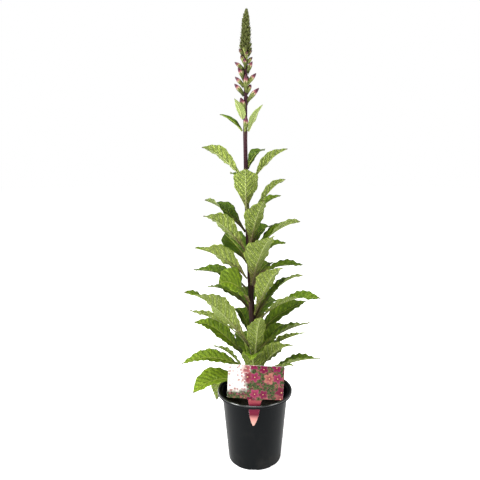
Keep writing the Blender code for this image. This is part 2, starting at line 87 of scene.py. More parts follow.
LEAF_THICKNESS = 0.9
LEAF_SEAT = 0.45             # from the stem to the foot of a leaf's midrib
LEAF_PETIOLE_HALF = 3.0      # half the breadth of the winged stalk where it meets the stem
LEAF_TIP_HALF = 0.5
LANCE_FOOT = 1.8             # how slowly the blade widens from its stalk
LANCE_TIP = 1.2              # how slowly it narrows to its tip
BRACT_FOOT = 0.6             # the same for a bract, which sits on the stem without a stalk
BRACT_TIP = 1.1
MIDRIB_PUSH = 0.42           # share of the chord that the midrib runs on in its first direction
MIDRIB_PULL = 0.26           # the same at the tip, and how much a steep tip adds
MIDRIB_PULL_STEEP = 0.12
HANGING_FROM = 45.0          # a tip that points down more steeply than this hangs in a fuller bow
HANGING_PUSH = 0.30
HANGING_PULL = 0.22
LEAF_FOLD = 22.0             # climb of each half of the blade from the midrib, in degrees
WAVE_TURN = 3.2              # half turns of the edge's wave along the blade
WAVE_OFFSET = 0.9            # how far the two edges' waves are apart, in radians
WAVE_FULL_HALF = 8.0         # half breadth at which a wave has its whole height

# height on the stem, facing and its change by the tip, reach from the stem's axis, rise of the tip,
# full breadth, climb of the midrib at both ends, roll at the base end and extra roll at the tip,
# height of the edge's waves; teeth scales the notches
Leaf = namedtuple("Leaf", "height facing swing reach rise breadth start end roll twist wave teeth")

LEAVES = (
    Leaf(119, 312, 7, 92, 90, 32, 56, 0, -16, 0, 1.5, 0.8),
    Leaf(122, 274, -9, 60, 94, 44, 70, -52, 0, 0, 1.5, 1),
    Leaf(133, 138, 9, 89, -46, 50, 72, -86, 0, 50, 1.5, 1),
    Leaf(134, 76, 6, 104, 40, 38, 58, -24, 0, 10, 2.0, 1),
    Leaf(140, 204, 4, 122, 16, 52, 44, -44, -8, -6, 1.5, 0.3),
    Leaf(143, 351, -2, 124, 64, 36, 58, 4, 10, -40, 3.0, 0.8),
    Leaf(150, 112, -6, 110, 60, 38, 58, -20, 0, -10, 2.0, 1),
    Leaf(157, 207, -1, 86, 80, 20, 62, 12, 6, 20, 2.0, 1),
    Leaf(164, 169, 7, 136, 18, 34, 44, -30, -20, 0, 2.0, 0.7),
    Leaf(168, 326, 2, 84, 72, 38, 60, 8, -34, 0, 3.0, 0.7),
    Leaf(174, 46, 8, 104, 60, 36, 58, -18, 0, 12, 2.0, 1),
    Leaf(183, 284, 0, 54, 112, 36, 74, 40, 0, 0, 2.0, 0.7),
    Leaf(188, 160, 2, 120, 66, 36, 46, -16, -28, 8, 2.5, 0.8),
    Leaf(197, 350, 0, 98, 57, 26, 50, 14, -24, 0, 2.5, 1),
    Leaf(202, 82, 6, 98, 70, 38, 64, -12, 0, 10, 2.0, 1),
    Leaf(209, 8, -4, 106, 55, 32, 48, 10, 14, -60, 3.0, 1),
    Leaf(214, 142, 28, 122, 70, 26, 48, 14, 26, 20, 3.0, 1),
    Leaf(226, 204, -2, 128, 112, 56, 54, 14, 66, -96, 2.0, 0.8),
    Leaf(230, 30, -8, 112, 66, 44, 58, 18, 26, -30, 1.5, 0.6),
    Leaf(238, 122, 0, 60, 40, 30, 60, -20, 0, 0, 1.5, 0.8),
    Leaf(254, 66, -4, 118, 18, 42, 60, -40, 6, 0, 2.0, 0.8),
    Leaf(262, 334, 8, 126, 62, 36, 60, -10, -24, 60, 2.0, 0.8),
    Leaf(268, 102, 2, 92, 42, 38, 60, -24, 0, 10, 2.0, 1),
    Leaf(276, 20, 2, 104, 70, 30, 62, -8, 20, -80, 1.5, 1),
    Leaf(284, 326, -9, 74, 98, 46, 66, 24, -10, 0, 2.0, 0.8),
    Leaf(292, 152, 0, 98, 30, 32, 52, -14, -10, 20, 2.0, 1),
    Leaf(308, 228, -4, 77, 46, 58, 60, -20, -52, 0, 2.0, 0.6),
    Leaf(330, 166, 4, 108, 32, 38, 46, 0, -12, 10, 2.0, 1),
    Leaf(322, 64, -6, 72, 44, 42, 68, -20, 0, 0, 2.0, 0.7),
    Leaf(340, 294, 4, 78, 98, 58, 66, 26, 0, 10, 2.0, 0.7),
    Leaf(350, 8, 2, 100, 22, 26, 44, -2, 12, 0, 2.0, 0.8),
    Leaf(352, 202, -6, 100, 60, 50, 52, 14, 62, -80, 2.0, 0.8),
    Leaf(370, 50, -6, 98, 34, 26, 52, -10, 0, 20, 2.0, 0.8),
    Leaf(378, 136, 0, 66, 48, 50, 56, 30, -30, 0, 1.5, 0.5),
    Leaf(392, 342, 20, 92, 62, 44, 60, 4, 20, -70, 1.5, 0.8),
    Leaf(402, 206, -4, 84, 66, 42, 54, 8, 50, -40, 2.0, 0.8),
    Leaf(412, 298, 4, 50, 84, 44, 68, 44, 0, 0, 1.5, 0.7),
    Leaf(406, 48, -4, 58, 32, 42, 60, -30, 0, 0, 1.5, 0.6),
    Leaf(436, 150, 8, 86, 54, 44, 48, 12, -26, 66, 1.5, 0.6),
    Leaf(452, 38, -4, 74, 46, 26, 56, 8, 0, 10, 1.5, 0.8),
    Leaf(466, 338, 8, 68, 64, 30, 50, 20, 10, -56, 1.2, 0.8),
    Leaf(478, 263, 4, 44, 71, 47, 66, 50, 0, 0, 1.2, 0.5),
    Leaf(500, 132, 4, 41, 38, 27, 72, -20, 0, 0, 1.0, 0.6),
    Leaf(520, 356, -2, 72, 62, 30, 56, 20, -28, 10, 1.0, 0.7),
    Leaf(530, 192, 0, 77, 54, 33, 52, 8, 40, -20, 1.2, 0.8),
    Leaf(548, 48, 0, 50, 32, 28, 64, -6, 0, 0, 1.0, 0.6),
)

# The leaf-like bracts under the lowest buds: the same rows as the leaves, in smooth outline.
BRACTS = (
    Leaf(613, 178, 0, 44, 27, 9, 46, 10, -44, 0, 0.5, 0),
    Leaf(612, 354, 3, 30, 44, 16, 60, 50, -38, 0, 0.5, 0),
    Leaf(632, 212, 3, 22, 33, 14, 70, 56, 30, 0, 0.3, 0),
)

# How light each leaf and each bract is, from 0 to 1: partly its own green, and partly painted shade for
# those that sit in shadow, such as the first bract and the dark leaves at the back, and painted light for
# those lit from the top, such as the fifth leaf.
TONES = (0.45, 0.65, 0.65, 0.35, 1.0, 0.4, 0.4, 0.45, 1.0, 0.45, 0.4, 0.5, 0.85, 0.65, 0.35, 0.45, 0.65,
         0.55, 0.4, 0.3, 0.3, 0.35, 0.3, 0.25, 0.75, 0.35, 0.85, 0.3, 0.3, 0.6, 0.35, 0.95, 0.6, 0.2, 0.55,
         0.7, 0.65, 0.15, 0.2, 0.6, 0.6, 0.7, 0.1, 0.8, 0.8, 0.1)
BRACT_TONES = (0.1, 0.8, 0.8)

# height on the stem, facing, length from the stem's axis, lean away from upright, full breadth
Bud = namedtuple("Bud", "height facing length lean breadth")

BUDS = (
    Bud(611, 281, 28, 18, 8.8), Bud(643, 205, 27, 16, 10.0), Bud(652, 75, 24, 30, 7.6),
    Bud(660, 352, 33, 42, 8.2), Bud(670, 186, 28, 40, 8.0), Bud(674, 34, 20, 30, 8.0),
    Bud(676, 272, 31, 12, 8.0), Bud(684, 174, 26, 42, 7.0), Bud(688, 8, 27, 38, 7.4),
    Bud(690, 70, 18, 30, 7.0), Bud(694, 212, 27, 32, 7.2), Bud(702, 110, 20, 38, 6.8),
    Bud(706, 345, 24, 26, 7.2), Bud(712, 180, 23, 50, 6.4), Bud(715, 255, 18, 18, 6.4),
    Bud(721, 75, 16, 34, 6.0), Bud(722, 12, 17, 38, 5.8), Bud(723, 205, 16, 30, 6.0),
    Bud(729, 290, 15, 22, 5.8), Bud(730, 140, 14, 34, 5.6), Bud(734, 350, 15, 38, 5.4),
    Bud(735, 190, 16, 40, 5.4), Bud(739, 245, 14, 26, 5.4), Bud(741, 60, 14, 34, 5.2),
)

# ------------------------------------------------------------------ settings
def colour(name, description, value):
    return FloatVectorProperty(name=name, description=description, subtype="COLOR", size=3, min=0, max=1,
                               default=value)


def millimetres(name, description, value, least=0.0):
    return FloatProperty(name=name, description=description + ", in millimetres", default=value, min=least)


class FoxgloveLeafSettings(bpy.types.PropertyGroup):
    tooth_pitch: millimetres("Tooth pitch", "Distance between two teeth of a leaf's edge", 5.6, 2)
    tooth_depth: millimetres("Tooth depth", "Depth of a notch between two teeth", 1.9)
    ruffle: millimetres("Ruffle", "Height of the small waves along a leaf's edge", 1.1)
    vein_pitch: millimetres("Vein pitch", "Distance between two side veins", 10.5, 3)
    quilting: millimetres("Quilting", "Rise of the blade between two side veins", 1.3)
    upper: colour("Upper side", "Colour of the upper side", (0.050, 0.105, 0.002))
    upper_light: colour("Upper side, light", "Colour of lighter patches above", (0.30, 0.43, 0.022))
    under: colour("Underside", "Colour of the underside", (0.125, 0.175, 0.014))
    # The light underside colour is partly the blade's own pale green and partly painted light, brightened to
    # stand for light shining through the leaf.
    under_light: colour("Underside, light", "Colour of lighter patches below", (0.46, 0.56, 0.100))
    bract: colour("Bract", "Colour of lighter patches below the bracts", (0.40, 0.48, 0.19))
    # Painted shade: the darker green laid into the fine grooves between the quilts and beside the side veins.
    net_shade: colour("Net", "Colour of the fine net between the quilts of the blade", (0.045, 0.080, 0.003))
    rib: colour("Ribs", "Colour of the midrib and side ribs", (0.56, 0.63, 0.24))
    blush: colour("Blush", "Plum tint of midribs and leaf tips", (0.085, 0.024, 0.026))


class FoxgloveSpikeSettings(bpy.types.PropertyGroup):
    stem: colour("Stem", "Colour of the stem", (0.024, 0.006, 0.011))
    stem_light: colour("Stem, light", "Colour of the stem's lighter streaks", (0.095, 0.032, 0.040))
    calyx: colour("Calyx", "Colour of the sepals", (0.056, 0.066, 0.010))
    calyx_light: colour("Calyx, light", "Colour of the sepals' lighter parts", (0.21, 0.25, 0.062))
    # Painted shade: the nearly black colour laid low on the darker buds, where they crowd together.
    crevice_shade: colour("Crevices", "Colour deep between the crowded buds", (0.016, 0.016, 0.003))
    petal_pale: colour("Petals, pale", "Colour of a closed flower near its calyx", (0.44, 0.31, 0.21))
    petal_rose: colour("Petals, rose", "Colour of a closed flower at its middle", (0.20, 0.037, 0.062))
    petal_dark: colour("Petals, dark", "Colour of a closed flower's end", (0.060, 0.008, 0.020))
    cone_buds: IntProperty(
        name="Buds in the cone", description="Number of small buds at the spike's end", default=70, min=10)


class FoxglovePotSettings(bpy.types.PropertyGroup):
    plastic: colour("Plastic", "Colour of the pot", (0.0028, 0.0036, 0.0042))
    dust: colour("Dust", "Colour of the dust near the pot's foot", (0.12, 0.105, 0.09))
    # The soil colour is partly moist peat's own and partly painted shade: it is kept near black to stand for
    # the shade inside the pot.
    soil: colour("Soil", "Colour of the moist soil", (0.0075, 0.0055, 0.0040))
    bark: colour("Bark", "Colour of the soil's lighter crumbs", (0.036, 0.022, 0.013))
    fibre: colour("Fibres", "Colour of the soil's pale fibres", (0.11, 0.07, 0.04))
    sides: IntProperty(name="Sides", description="Steps of the turned pot", default=144, min=24)


class FoxgloveStageSettings(bpy.types.PropertyGroup):
    distance: FloatProperty(
        name="Distance", description="From the camera to the pot's axis", default=0.867, unit="LENGTH")
    height: FloatProperty(
        name="Height", description="Height of the camera", default=0.568, unit="LENGTH")
    tilt: FloatProperty(
        name="Tilt", description="How far the camera looks down", default=radians(9.6), subtype="ANGLE")
    lens: FloatProperty(name="Lens", description="Focal length in millimetres", default=36.8)
    shift: FloatProperty(
        name="Shift", description="Sideways shift of the lens, as a share of the frame", default=-0.031)
    floor: colour("Floor", "Colour of the floor", (0.93, 0.93, 0.93))


SETTINGS = {
    "foxglove_leaf": FoxgloveLeafSettings,
    "foxglove_spike": FoxgloveSpikeSettings,
    "foxglove_pot": FoxglovePotSettings,
    "foxglove_stage": FoxgloveStageSettings,
}


# ------------------------------------------------------------------ shader expressions
class Socket:
    """A node's output in shader maths: an expression on it adds Math nodes to its tree."""

    def __init__(self, shader, link):
        self.shader = shader
        self.link = link

    def __add__(self, other):
        return self.shader.maths("ADD", self, other)

    def __sub__(self, other):
        return self.shader.maths("SUBTRACT", self, other)

    def __rsub__(self, other):
        return self.shader.maths("SUBTRACT", other, self)

    def __mul__(self, other):
        return self.shader.maths("MULTIPLY", self, other)

    def __truediv__(self, other):
        return self.shader.maths("DIVIDE", self, other)

    def __pow__(self, other):
        return self.shader.maths("POWER", self, other)

    def __abs__(self):
        return self.shader.maths("ABSOLUTE", self)

    __radd__ = __add__
    __rmul__ = __mul__


class Shader:
    """A material whose Principled shader is fed by expressions."""

    def __init__(self, name, constants):
        self.material = bpy.data.materials.new(name)
        self.material.use_nodes = True
        self.tree = self.material.node_tree
        self.surface = self.tree.nodes["Principled BSDF"]
        self.paint(constants)

    def feed(self, socket, value):
        """Links a socket, or sets its value."""
        if isinstance(value, Socket):
            self.tree.links.new(value.link, socket)
        elif socket.type == "RGBA":
            socket.default_value = (*value[:3], 1)
        else:
            socket.default_value = value

    def node(self, kind, settings=None, sockets=None, out=0):
        """Adds a node: first its settings, then the values or links of its sockets."""
        node = self.tree.nodes.new("ShaderNode" + kind)
        for key, value in (settings or {}).items():
            if key == "stops":
                elements = node.color_ramp.elements
                while len(elements) < len(value):
                    elements.new(0)
                for element, (place, tint) in zip(elements, value):
                    element.position = place
                    element.color = (*tint, 1)
            else:
                setattr(node, key, value)
        for key, value in (sockets or {}).items():
            self.feed(node.inputs[key], value)
        return Socket(self, node.outputs[out])

    def maths(self, operation, *values):
        return self.node("Math", {"operation": operation}, dict(enumerate(values)))

    def fade(self, value, start, end):
        """0 at start and 1 at end, with soft ends."""
        return self.node("MapRange", {"interpolation_type": "SMOOTHSTEP"},
                         {"Value": value, "From Min": start, "From Max": end})

    def blend(self, factor, one, other):
        """From one colour to the other."""
        return self.node("Mix", {"data_type": "RGBA"}, {0: factor, 6: one, 7: other}, 2)

    def ramp(self, value, stops):
        return self.node("ValToRGB", {"stops": stops}, {"Fac": value}, "Color")

    def attribute(self, name):
        """The three numbers of a mesh attribute, and the vector itself."""
        vector = self.node("Attribute", {"attribute_name": name}, out="Vector")
        return [self.node("SeparateXYZ", sockets={0: vector}, out=k) for k in range(3)] + [vector]

    def place(self, stretch=(1, 1, 1)):
        """The place on the object in metres, stretched along each axis."""
        vector = self.node("TexCoord", out="Object")
        return self.node("VectorMath", {"operation": "MULTIPLY"}, {0: vector, 1: stretch})

    def noise(self, vector, scale, detail=2.0, roughness=0.5):
        return self.node("TexNoise", sockets={"Vector": vector, "Scale": scale, "Detail": detail,
                                              "Roughness": roughness}, out="Fac")

    def bump(self, height, distance, strength=1.0):
        """A normal from a height between 0 and 1, with the distance in metres."""
        return self.node("Bump", sockets={"Height": height, "Distance": distance, "Strength": strength})

    def paint(self, sockets):
        for key, value in sockets.items():
            self.feed(self.surface.inputs[key], value)
        return self.material


# ------------------------------------------------------------------ geometry
def unit(vectors):
    return vectors / np.linalg.norm(vectors, axis=-1, keepdims=True)


def ease(value, start, end):
    """0 at start and 1 at end, with soft ends."""
    share = np.clip((value - start) / (end - start), 0, 1)
    return share * share * (3 - 2 * share)


def heading(degrees):
    return np.array((cos(radians(degrees)), sin(radians(degrees)), 0.0))


def stem_at(height):
    """The stem's centre and radius at a height."""
    x, radius = (np.interp(height, STEM[:, 0], STEM[:, k]) for k in (1, 2))
    return np.array((x, 0.0, height)), radius


def square_to(along):
    """Two directions square to a direction and to each other."""
    side = unit(np.cross(along, (0.3, 0.9, 0.1)))
    return side, np.cross(along, side)


class Form:
    """The points, faces, material slots and values of one piece, gathered part by part."""

    def __init__(self):
        self.points, self.faces, self.slots, self.values = [], [], [], []

    def add(self, points, faces, slots, values):
        """Adds a part. slots is one number or one for each face; values is one vector or one a point."""
        start = sum(len(part) for part in self.points)
        self.points.append(points)
        self.faces += [tuple(start + i for i in face) for face in faces]
        self.slots += [slots] * len(faces) if isinstance(slots, int) else list(slots)
        self.values.append(np.broadcast_to(np.asarray(values, float), (len(points), 3)))

    def tube(self, centres, radii, sides, slot, values):
        """A closed tube with round ends: centres and radii ring by ring, values one a ring."""
        ways = unit(np.gradient(centres, axis=0))
        side, other = square_to(ways[len(ways) // 2])
        turns = np.arange(sides) * 2 * pi / sides
        circle = np.outer(np.cos(turns), side) + np.outer(np.sin(turns), other)
        rings = []
        for centre, way, radius in zip(centres, ways, radii):
            flat = circle - np.outer(circle @ way, way)
            rings.append(centre + unit(flat) * np.reshape(radius, (-1, 1)))
        self.skin(rings, centres[0], centres[-1], slot, values)

    def skin(self, rings, first, last, slot, values):
        """Skins rings one to the next and closes both ends with a fan round a middle point."""
        count, sides = len(rings), len(rings[0])
        faces = []
        for k in range(count - 1):
            for j in range(sides):
                a, b = k * sides + j, k * sides + (j + 1) % sides
                faces.append((a, b, b + sides, a + sides))
        for j in range(sides):
            faces.append((count * sides, (j + 1) % sides, j))
            faces.append((count * sides + 1, (count - 1) * sides + j, (count - 1) * sides + (j + 1) % sides))
        spread = np.vstack([np.repeat(values, sides, axis=0), values[:1], values[-1:]])
        self.add(np.vstack(rings + [[first], [last]]), faces, slot, spread)

    def upright(self, centres, radii, turns, slot, values):
        """A closed tube of level rings: centres, radii and values ring by ring."""
        rings = []
        for centre, radius in zip(centres, radii):
            flat = np.stack((np.cos(turns), np.sin(turns), 0 * turns), axis=-1)
            rings.append(centre + flat * radius[:, None])
        self.skin(rings, centres[0], centres[-1], slot, values)

    def blade(self, upper, lower, slots, values):
        """A closed thin blade from two grids of points, rows along it and columns across it. slots are the
        material slots of its upper face and its underside."""
        rows, columns = upper.shape[:2]
        size = rows * columns
        grid = np.arange(size).reshape(rows, columns)
        a, b, c, d = grid[:-1, :-1], grid[:-1, 1:], grid[1:, 1:], grid[1:, :-1]
        top = np.stack((a, d, c, b), axis=-1).reshape(-1, 4)
        faces = np.vstack((top, top[:, ::-1] + size))
        rim = [*grid[0], *grid[1:, -1], *grid[-1, -2::-1], *grid[-2:0:-1, 0]]
        edges = [(one, two, two + size, one + size) for one, two in zip(rim, rim[1:] + rim[:1])]
        points = np.vstack((upper.reshape(-1, 3), lower.reshape(-1, 3)))
        kinds = [slots[0]] * len(top) + [slots[1]] * len(top) + [slots[0]] * len(edges)
        values = np.broadcast_to(values, (rows, columns, 3)).reshape(-1, 3)
        self.add(points, faces.tolist() + edges, kinds, np.vstack((values, values)))

    def make(self, name, materials, attribute, smooth_angle=None):
        """The piece as an object in metres, riding on the one body."""
        mesh = bpy.data.meshes.new(name)
        mesh.from_pydata((np.vstack(self.points) * MM).tolist(), [], self.faces)
        for material in materials:
            mesh.materials.append(material)
        mesh.polygons.foreach_set("material_index", self.slots)
        layer = mesh.attributes.new(attribute, "FLOAT_VECTOR", "POINT")
        layer.data.foreach_set("vector", np.vstack(self.values).astype(np.float32).ravel())
        mesh.shade_smooth()
        if smooth_angle:
            mesh.set_sharp_from_angle(angle=radians(smooth_angle))
        return settle(bpy.data.objects.new(name, mesh))


def settle(piece):
    """Links a piece to the scene and lets it ride on the row's one body."""
    bpy.context.scene.collection.objects.link(piece)
    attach(piece, "root")
    return piece


def stand_for(piece, node):
    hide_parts(node)


# ------------------------------------------------------------------ leaves and bracts
VEIN_SLANT = 0.78            # how far a side vein runs towards the tip for each millimetre outwards
VEIN_BOW = 0.012             # how much more it does so towards the edge
VEIN_STEP = 0.5              # shift of the right half's veins, as a share of their pitch
ROWS_PER_TOOTH = 5
BLADE_COLUMNS = 23
EDGE_SWAY = (0.06, 27.0)     # share of the half breadth by which an edge swings in and out, and its pitch
RIPPLE_PITCH = (14.5, 12.5)  # of the small ruffles on the left and right half
EDGE_HALF_THICKNESS = 0.16   # half the blade's thickness at its edge
BODY_HALF_THICKNESS = 0.24   # and how much more it has beside the midrib
RIB_HEIGHT = (0.35, 2.0)     # of the midrib below the tip, and how much more it has at its foot
GROOVE_DEPTH = 0.35          # of the groove above the midrib
BRACT_RELIEF = 0.15          # strength of the net and quilts on a bract, where a leaf has 1
BRACT_BLUSH = 0.1
SEEDS = {"leaf": 101, "bract": 301, "bud": 501, "cone": 11, "soil": 23}


def vein_place(along, off):
    """Where the side vein through a place leaves the midrib."""
    return along - VEIN_SLANT * off - VEIN_BOW * off * off


def leaf_finish(name, look, under, bract=False):
    """One side of a leaf: quilts of mottled green between a net of fine grooves, with ribs that stand
    out below. The grooves and the strips beside the side veins are darkened with painted shade, and the
    quilts' domes get a painted highlight. A bract is smoother and paler. "blade" holds the place along
    and across the blade and its half breadth, in millimetres; "leaf" holds the blade's length, its tone
    and its blush."""
    relief = BRACT_RELIEF if bract else 1.0
    shader = Shader(name, {"Specular IOR Level": 0.22})
    along, across, half, blade = shader.attribute("blade")
    length, tone, blush, _ = shader.attribute("leaf")
    off = abs(across)
    share = off / half
    t = along / length
    drift = shader.noise(blade, 0.16, 2.0)
    mottle = shader.noise(blade, 0.075, 4.0, 0.6)
    side = shader.maths("GREATER_THAN", across, 0.0)
    lean = vein_place(along, off) + 3.0 * (drift - 0.5)
    phase = lean / look.vein_pitch + VEIN_STEP * side
    near = abs(shader.maths("FRACT", phase) - 0.5)
    vein = shader.fade(near, 0.415, 0.48) * (1 - shader.fade(share, 0.72, 0.98))
    # Painted shade: a darker strip on each side of a side vein, where the blade dips.
    valley_shade = relief * shader.fade(near, 0.16, 0.44) * (1 - shader.fade(share, 0.80, 1.0))
    quilts = shader.node("CombineXYZ", sockets={0: 0.28 * lean, 1: 0.19 * across + 1.5 * drift})
    cells = shader.node("TexVoronoi", {"feature": "DISTANCE_TO_EDGE", "voronoi_dimensions": "2D"},
                        {"Vector": quilts, "Scale": 1.0, "Randomness": 1.0}, "Distance")
    strength = relief * (0.35 + 0.65 * shader.fade(drift, 0.42, 0.62))
    quilt = shader.fade(cells, 0.03, 0.30)
    bump = shader.fade(cells, 0.16, 0.42) * strength
    width = 0.5 + 1.3 * (1 - t) ** 1.5
    midrib = 1 - shader.fade(off / width, 0.55, 1.15)
    edge = shader.fade(share, 0.93, 1.0)
    tip = shader.fade(t, 0.95, 1.0)
    # The tone brings in painted light and painted shade, leaf by leaf, as listed in the tones table.
    patch = shader.fade(mottle, 0.35, 0.68) * 0.35 * relief + 0.75 * (tone - 0.3)
    plum = blush * (1 - shader.fade(t, 0.22, 0.7))
    if under:
        # Partly painted light: the lighter patches stand also for light shining through the blade.
        body = shader.blend(patch, look.under, look.bract if bract else look.under_light)
        # Painted shade in the grooves between the quilts and in the strips beside the side veins.
        body = shader.blend(0.6 * relief * (1 - quilt), body, look.net_shade)
        body = shader.blend(0.7 * valley_shade, body, look.net_shade)
        # Painted highlight on the domes of the quilts.
        body = shader.blend(0.45 * bump, body, look.rib)
        tint = shader.blend(0.5 * vein, body, look.rib)
        rib = shader.blend(plum, look.rib, look.blush)
        height = 0.5 * relief * quilt + 0.5 * vein + midrib
        roughness = 0.6
    else:
        body = shader.blend(patch, look.upper, look.upper_light)
        # Painted shade in the grooves between the quilts and in the strips beside the side veins.
        body = shader.blend(0.4 * relief * (1 - quilt), body, look.upper)
        body = shader.blend(0.5 * valley_shade, body, look.upper)
        # Painted highlight on the domes of the quilts.
        body = shader.blend(0.45 * bump, body, look.upper_light)
        tint = shader.blend(0.3 * vein, body, look.under)
        rib = shader.blend(plum, look.under_light, look.blush)
        height = 1 + 0.6 * relief * quilt - 0.6 * vein - 0.8 * midrib
        roughness = 0.44
    tint = shader.blend(0.9 * midrib, tint, rib)
    tint = shader.blend(0.75 * blush * (1 - shader.fade(t, 0.10, 0.36)), tint, look.blush)
    tint = shader.blend(0.35 * edge, tint, look.under_light)
    tint = shader.blend(0.8 * tip, tint, look.blush)
    grain = shader.noise(shader.place(), 900.0, 2.0)
    return shader.paint({
        "Base Color": tint,
        "Roughness": roughness + 0.12 * (grain - 0.5),
        "Normal": shader.bump(height + 0.2 * grain, 0.0018, 1.0),
    })


def leaf_course(leaf, t):
    """Places and directions along the leaf's midrib: one cubic curve from the stem to the tip."""
    foot, stem_radius = stem_at(leaf.height)
    start = foot + (stem_radius + LEAF_SEAT + LEAF_THICKNESS / 2) * heading(leaf.facing)
    tip_heading = heading(leaf.facing + leaf.swing)
    end = foot + leaf.reach * tip_heading + leaf.rise * UP
    chord = np.linalg.norm(end - start)
    out = cos(radians(leaf.start)) * heading(leaf.facing) + sin(radians(leaf.start)) * UP
    away = cos(radians(leaf.end)) * tip_heading + sin(radians(leaf.end)) * UP
    hang = max(0, -leaf.end - HANGING_FROM) / (90 - HANGING_FROM)
    push = MIDRIB_PUSH + HANGING_PUSH * hang
    pull = MIDRIB_PULL + MIDRIB_PULL_STEEP * abs(leaf.end) / 90 + HANGING_PULL * hang
    a, b, c, d = start, start + push * chord * out, end - pull * chord * away, end
    t = t[:, None]
    s = 1 - t
    places = s**3 * a + 3 * s * s * t * b + 3 * s * t * t * c + t**3 * d
    ways = unit(s * s * (b - a) + 2 * s * t * (c - b) + t * t * (d - c))
    return places, ways


def half_breadth(leaf, t):
    """Half the blade's breadth at a share t of its length: a winged stalk that widens to a lance."""
    foot, tip = (LANCE_FOOT, LANCE_TIP) if leaf.teeth else (BRACT_FOOT, BRACT_TIP)
    widest = foot / (foot + tip)
    lance = (t / widest) ** foot * ((1 - t) / (1 - widest)) ** tip
    return leaf.breadth / 2 * lance + LEAF_PETIOLE_HALF * (1 - t) ** 2 + LEAF_TIP_HALF * t


def build_leaf(name, leaf, look, materials, tone, blush, draw):
    """A quilted, ruffled and toothed blade with a midrib that stands out below."""
    coarse = np.linspace(0, 1, 40)
    length = float(np.linalg.norm(np.diff(leaf_course(leaf, coarse)[0], axis=0), axis=1).sum())
    teeth = max(6, round(length / look.tooth_pitch))
    t = np.linspace(0, 1, ROWS_PER_TOOTH * teeth + 1)
    places, ways = leaf_course(leaf, t)
    along = t * length
    level = unit(np.cross(UP, ways))
    face = np.cross(ways, level)
    roll = np.radians(leaf.roll * np.minimum(1, 2.5 * t) + leaf.twist * t * t)[:, None]
    across = np.cos(roll) * level + np.sin(roll) * face
    face = np.cross(ways, across)
    steps = np.linspace(-1, 1, BLADE_COLUMNS)
    s = np.sign(steps) * np.abs(steps) ** 1.4
    half = half_breadth(leaf, t)

    # the outline: rounded teeth that point forward, each of its own size, on a slightly uneven edge
    sizes = np.array([[draw.uniform(0.55, 1.25) for _ in range(teeth + 1)] for _ in range(2)])
    edges = []
    for k, offset in enumerate((0.0, 0.45)):
        phase = t * teeth + offset
        whole = np.minimum(phase.astype(int), teeth)
        notch = 1 - np.abs(np.sin(pi * (phase % 1) ** 0.85)) ** 0.6
        depth = look.tooth_depth * sizes[k][whole] * notch * leaf.teeth * ease(t, 0.12, 0.3)
        swing = np.sin(2 * pi * along / EDGE_SWAY[1] + draw.uniform(0, 6)) * ease(t, 0.1, 0.4)
        edges.append(half * (0.98 + EDGE_SWAY[0] * swing) - np.minimum(depth, 0.3 * half))
    side = s[None, :]
    off = np.where(side < 0, edges[0][:, None], edges[1][:, None]) * np.abs(side)

    # the relief: fold, long waves, small ruffles and domes between the side veins
    fold = np.radians(LEAF_FOLD) * np.minimum(1, 3 * t)
    climb = np.abs(side) ** 1.15 * half[:, None] * np.sin(fold)[:, None]
    wave = leaf.wave * np.sin(pi * t) ** 0.5 * np.minimum(1, half / WAVE_FULL_HALF)
    turn = WAVE_TURN * pi * t[:, None] + np.sign(side) * WAVE_OFFSET
    waves = side * wave[:, None] * np.sin(turn)
    left, right = (np.sin(2 * pi * along[:, None] / pitch + draw.uniform(0, 6)) for pitch in RIPPLE_PITCH)
    ripple = np.where(side < 0, left, right)
    ruffle = look.ruffle * min(leaf.wave, 2.2) / 2 * ripple * np.abs(side) ** 3
    ruffle = ruffle * (ease(t, 0.08, 0.3) * (1 - 0.6 * ease(t, 0.8, 1.0)))[:, None]
    lean = vein_place(along[:, None], off)
    phase = lean / look.vein_pitch + np.where(side > 0, VEIN_STEP, 0.0)
    dome = np.abs(np.sin(pi * phase)) ** 0.7
    dome = dome * ease(off, 0.5, 4.0) * (1 - np.abs(side) ** 5) * ease(half, 4, 14)[:, None]
    lift = climb + waves + ruffle + look.quilting * leaf.teeth * (dome - 0.45 * ease(off, 0.5, 4.0))

    flat = np.cos(fold)[:, None] * off * np.sign(side)
    middle = places[:, None] + flat[..., None] * across[:, None] + lift[..., None] * face[:, None]
    thick = EDGE_HALF_THICKNESS + BODY_HALF_THICKNESS * np.exp(-((off / 6) ** 2))
    rib = (RIB_HEIGHT[0] + RIB_HEIGHT[1] * (1 - t) ** 1.8)[:, None]
    rib = rib * np.exp(-((off / (0.7 + 1.3 * (1 - t))[:, None]) ** 2))
    groove = GROOVE_DEPTH * np.exp(-((off / 0.9) ** 2))
    upper = middle + (thick - groove)[..., None] * face[:, None]
    lower = middle - (thick + rib)[..., None] * face[:, None]

    values = np.stack(np.broadcast_arrays(along[:, None], np.sign(side) * off,
                                          np.maximum(half, 0.5)[:, None]), axis=-1)
    form = Form()
    form.blade(upper, lower, (0, 1), values)
    piece = form.make(name, materials, "blade")
    layer = piece.data.attributes.new("leaf", "FLOAT_VECTOR", "POINT")
    layer.data.foreach_set("vector", [length, tone, blush] * len(piece.data.vertices))
    return piece


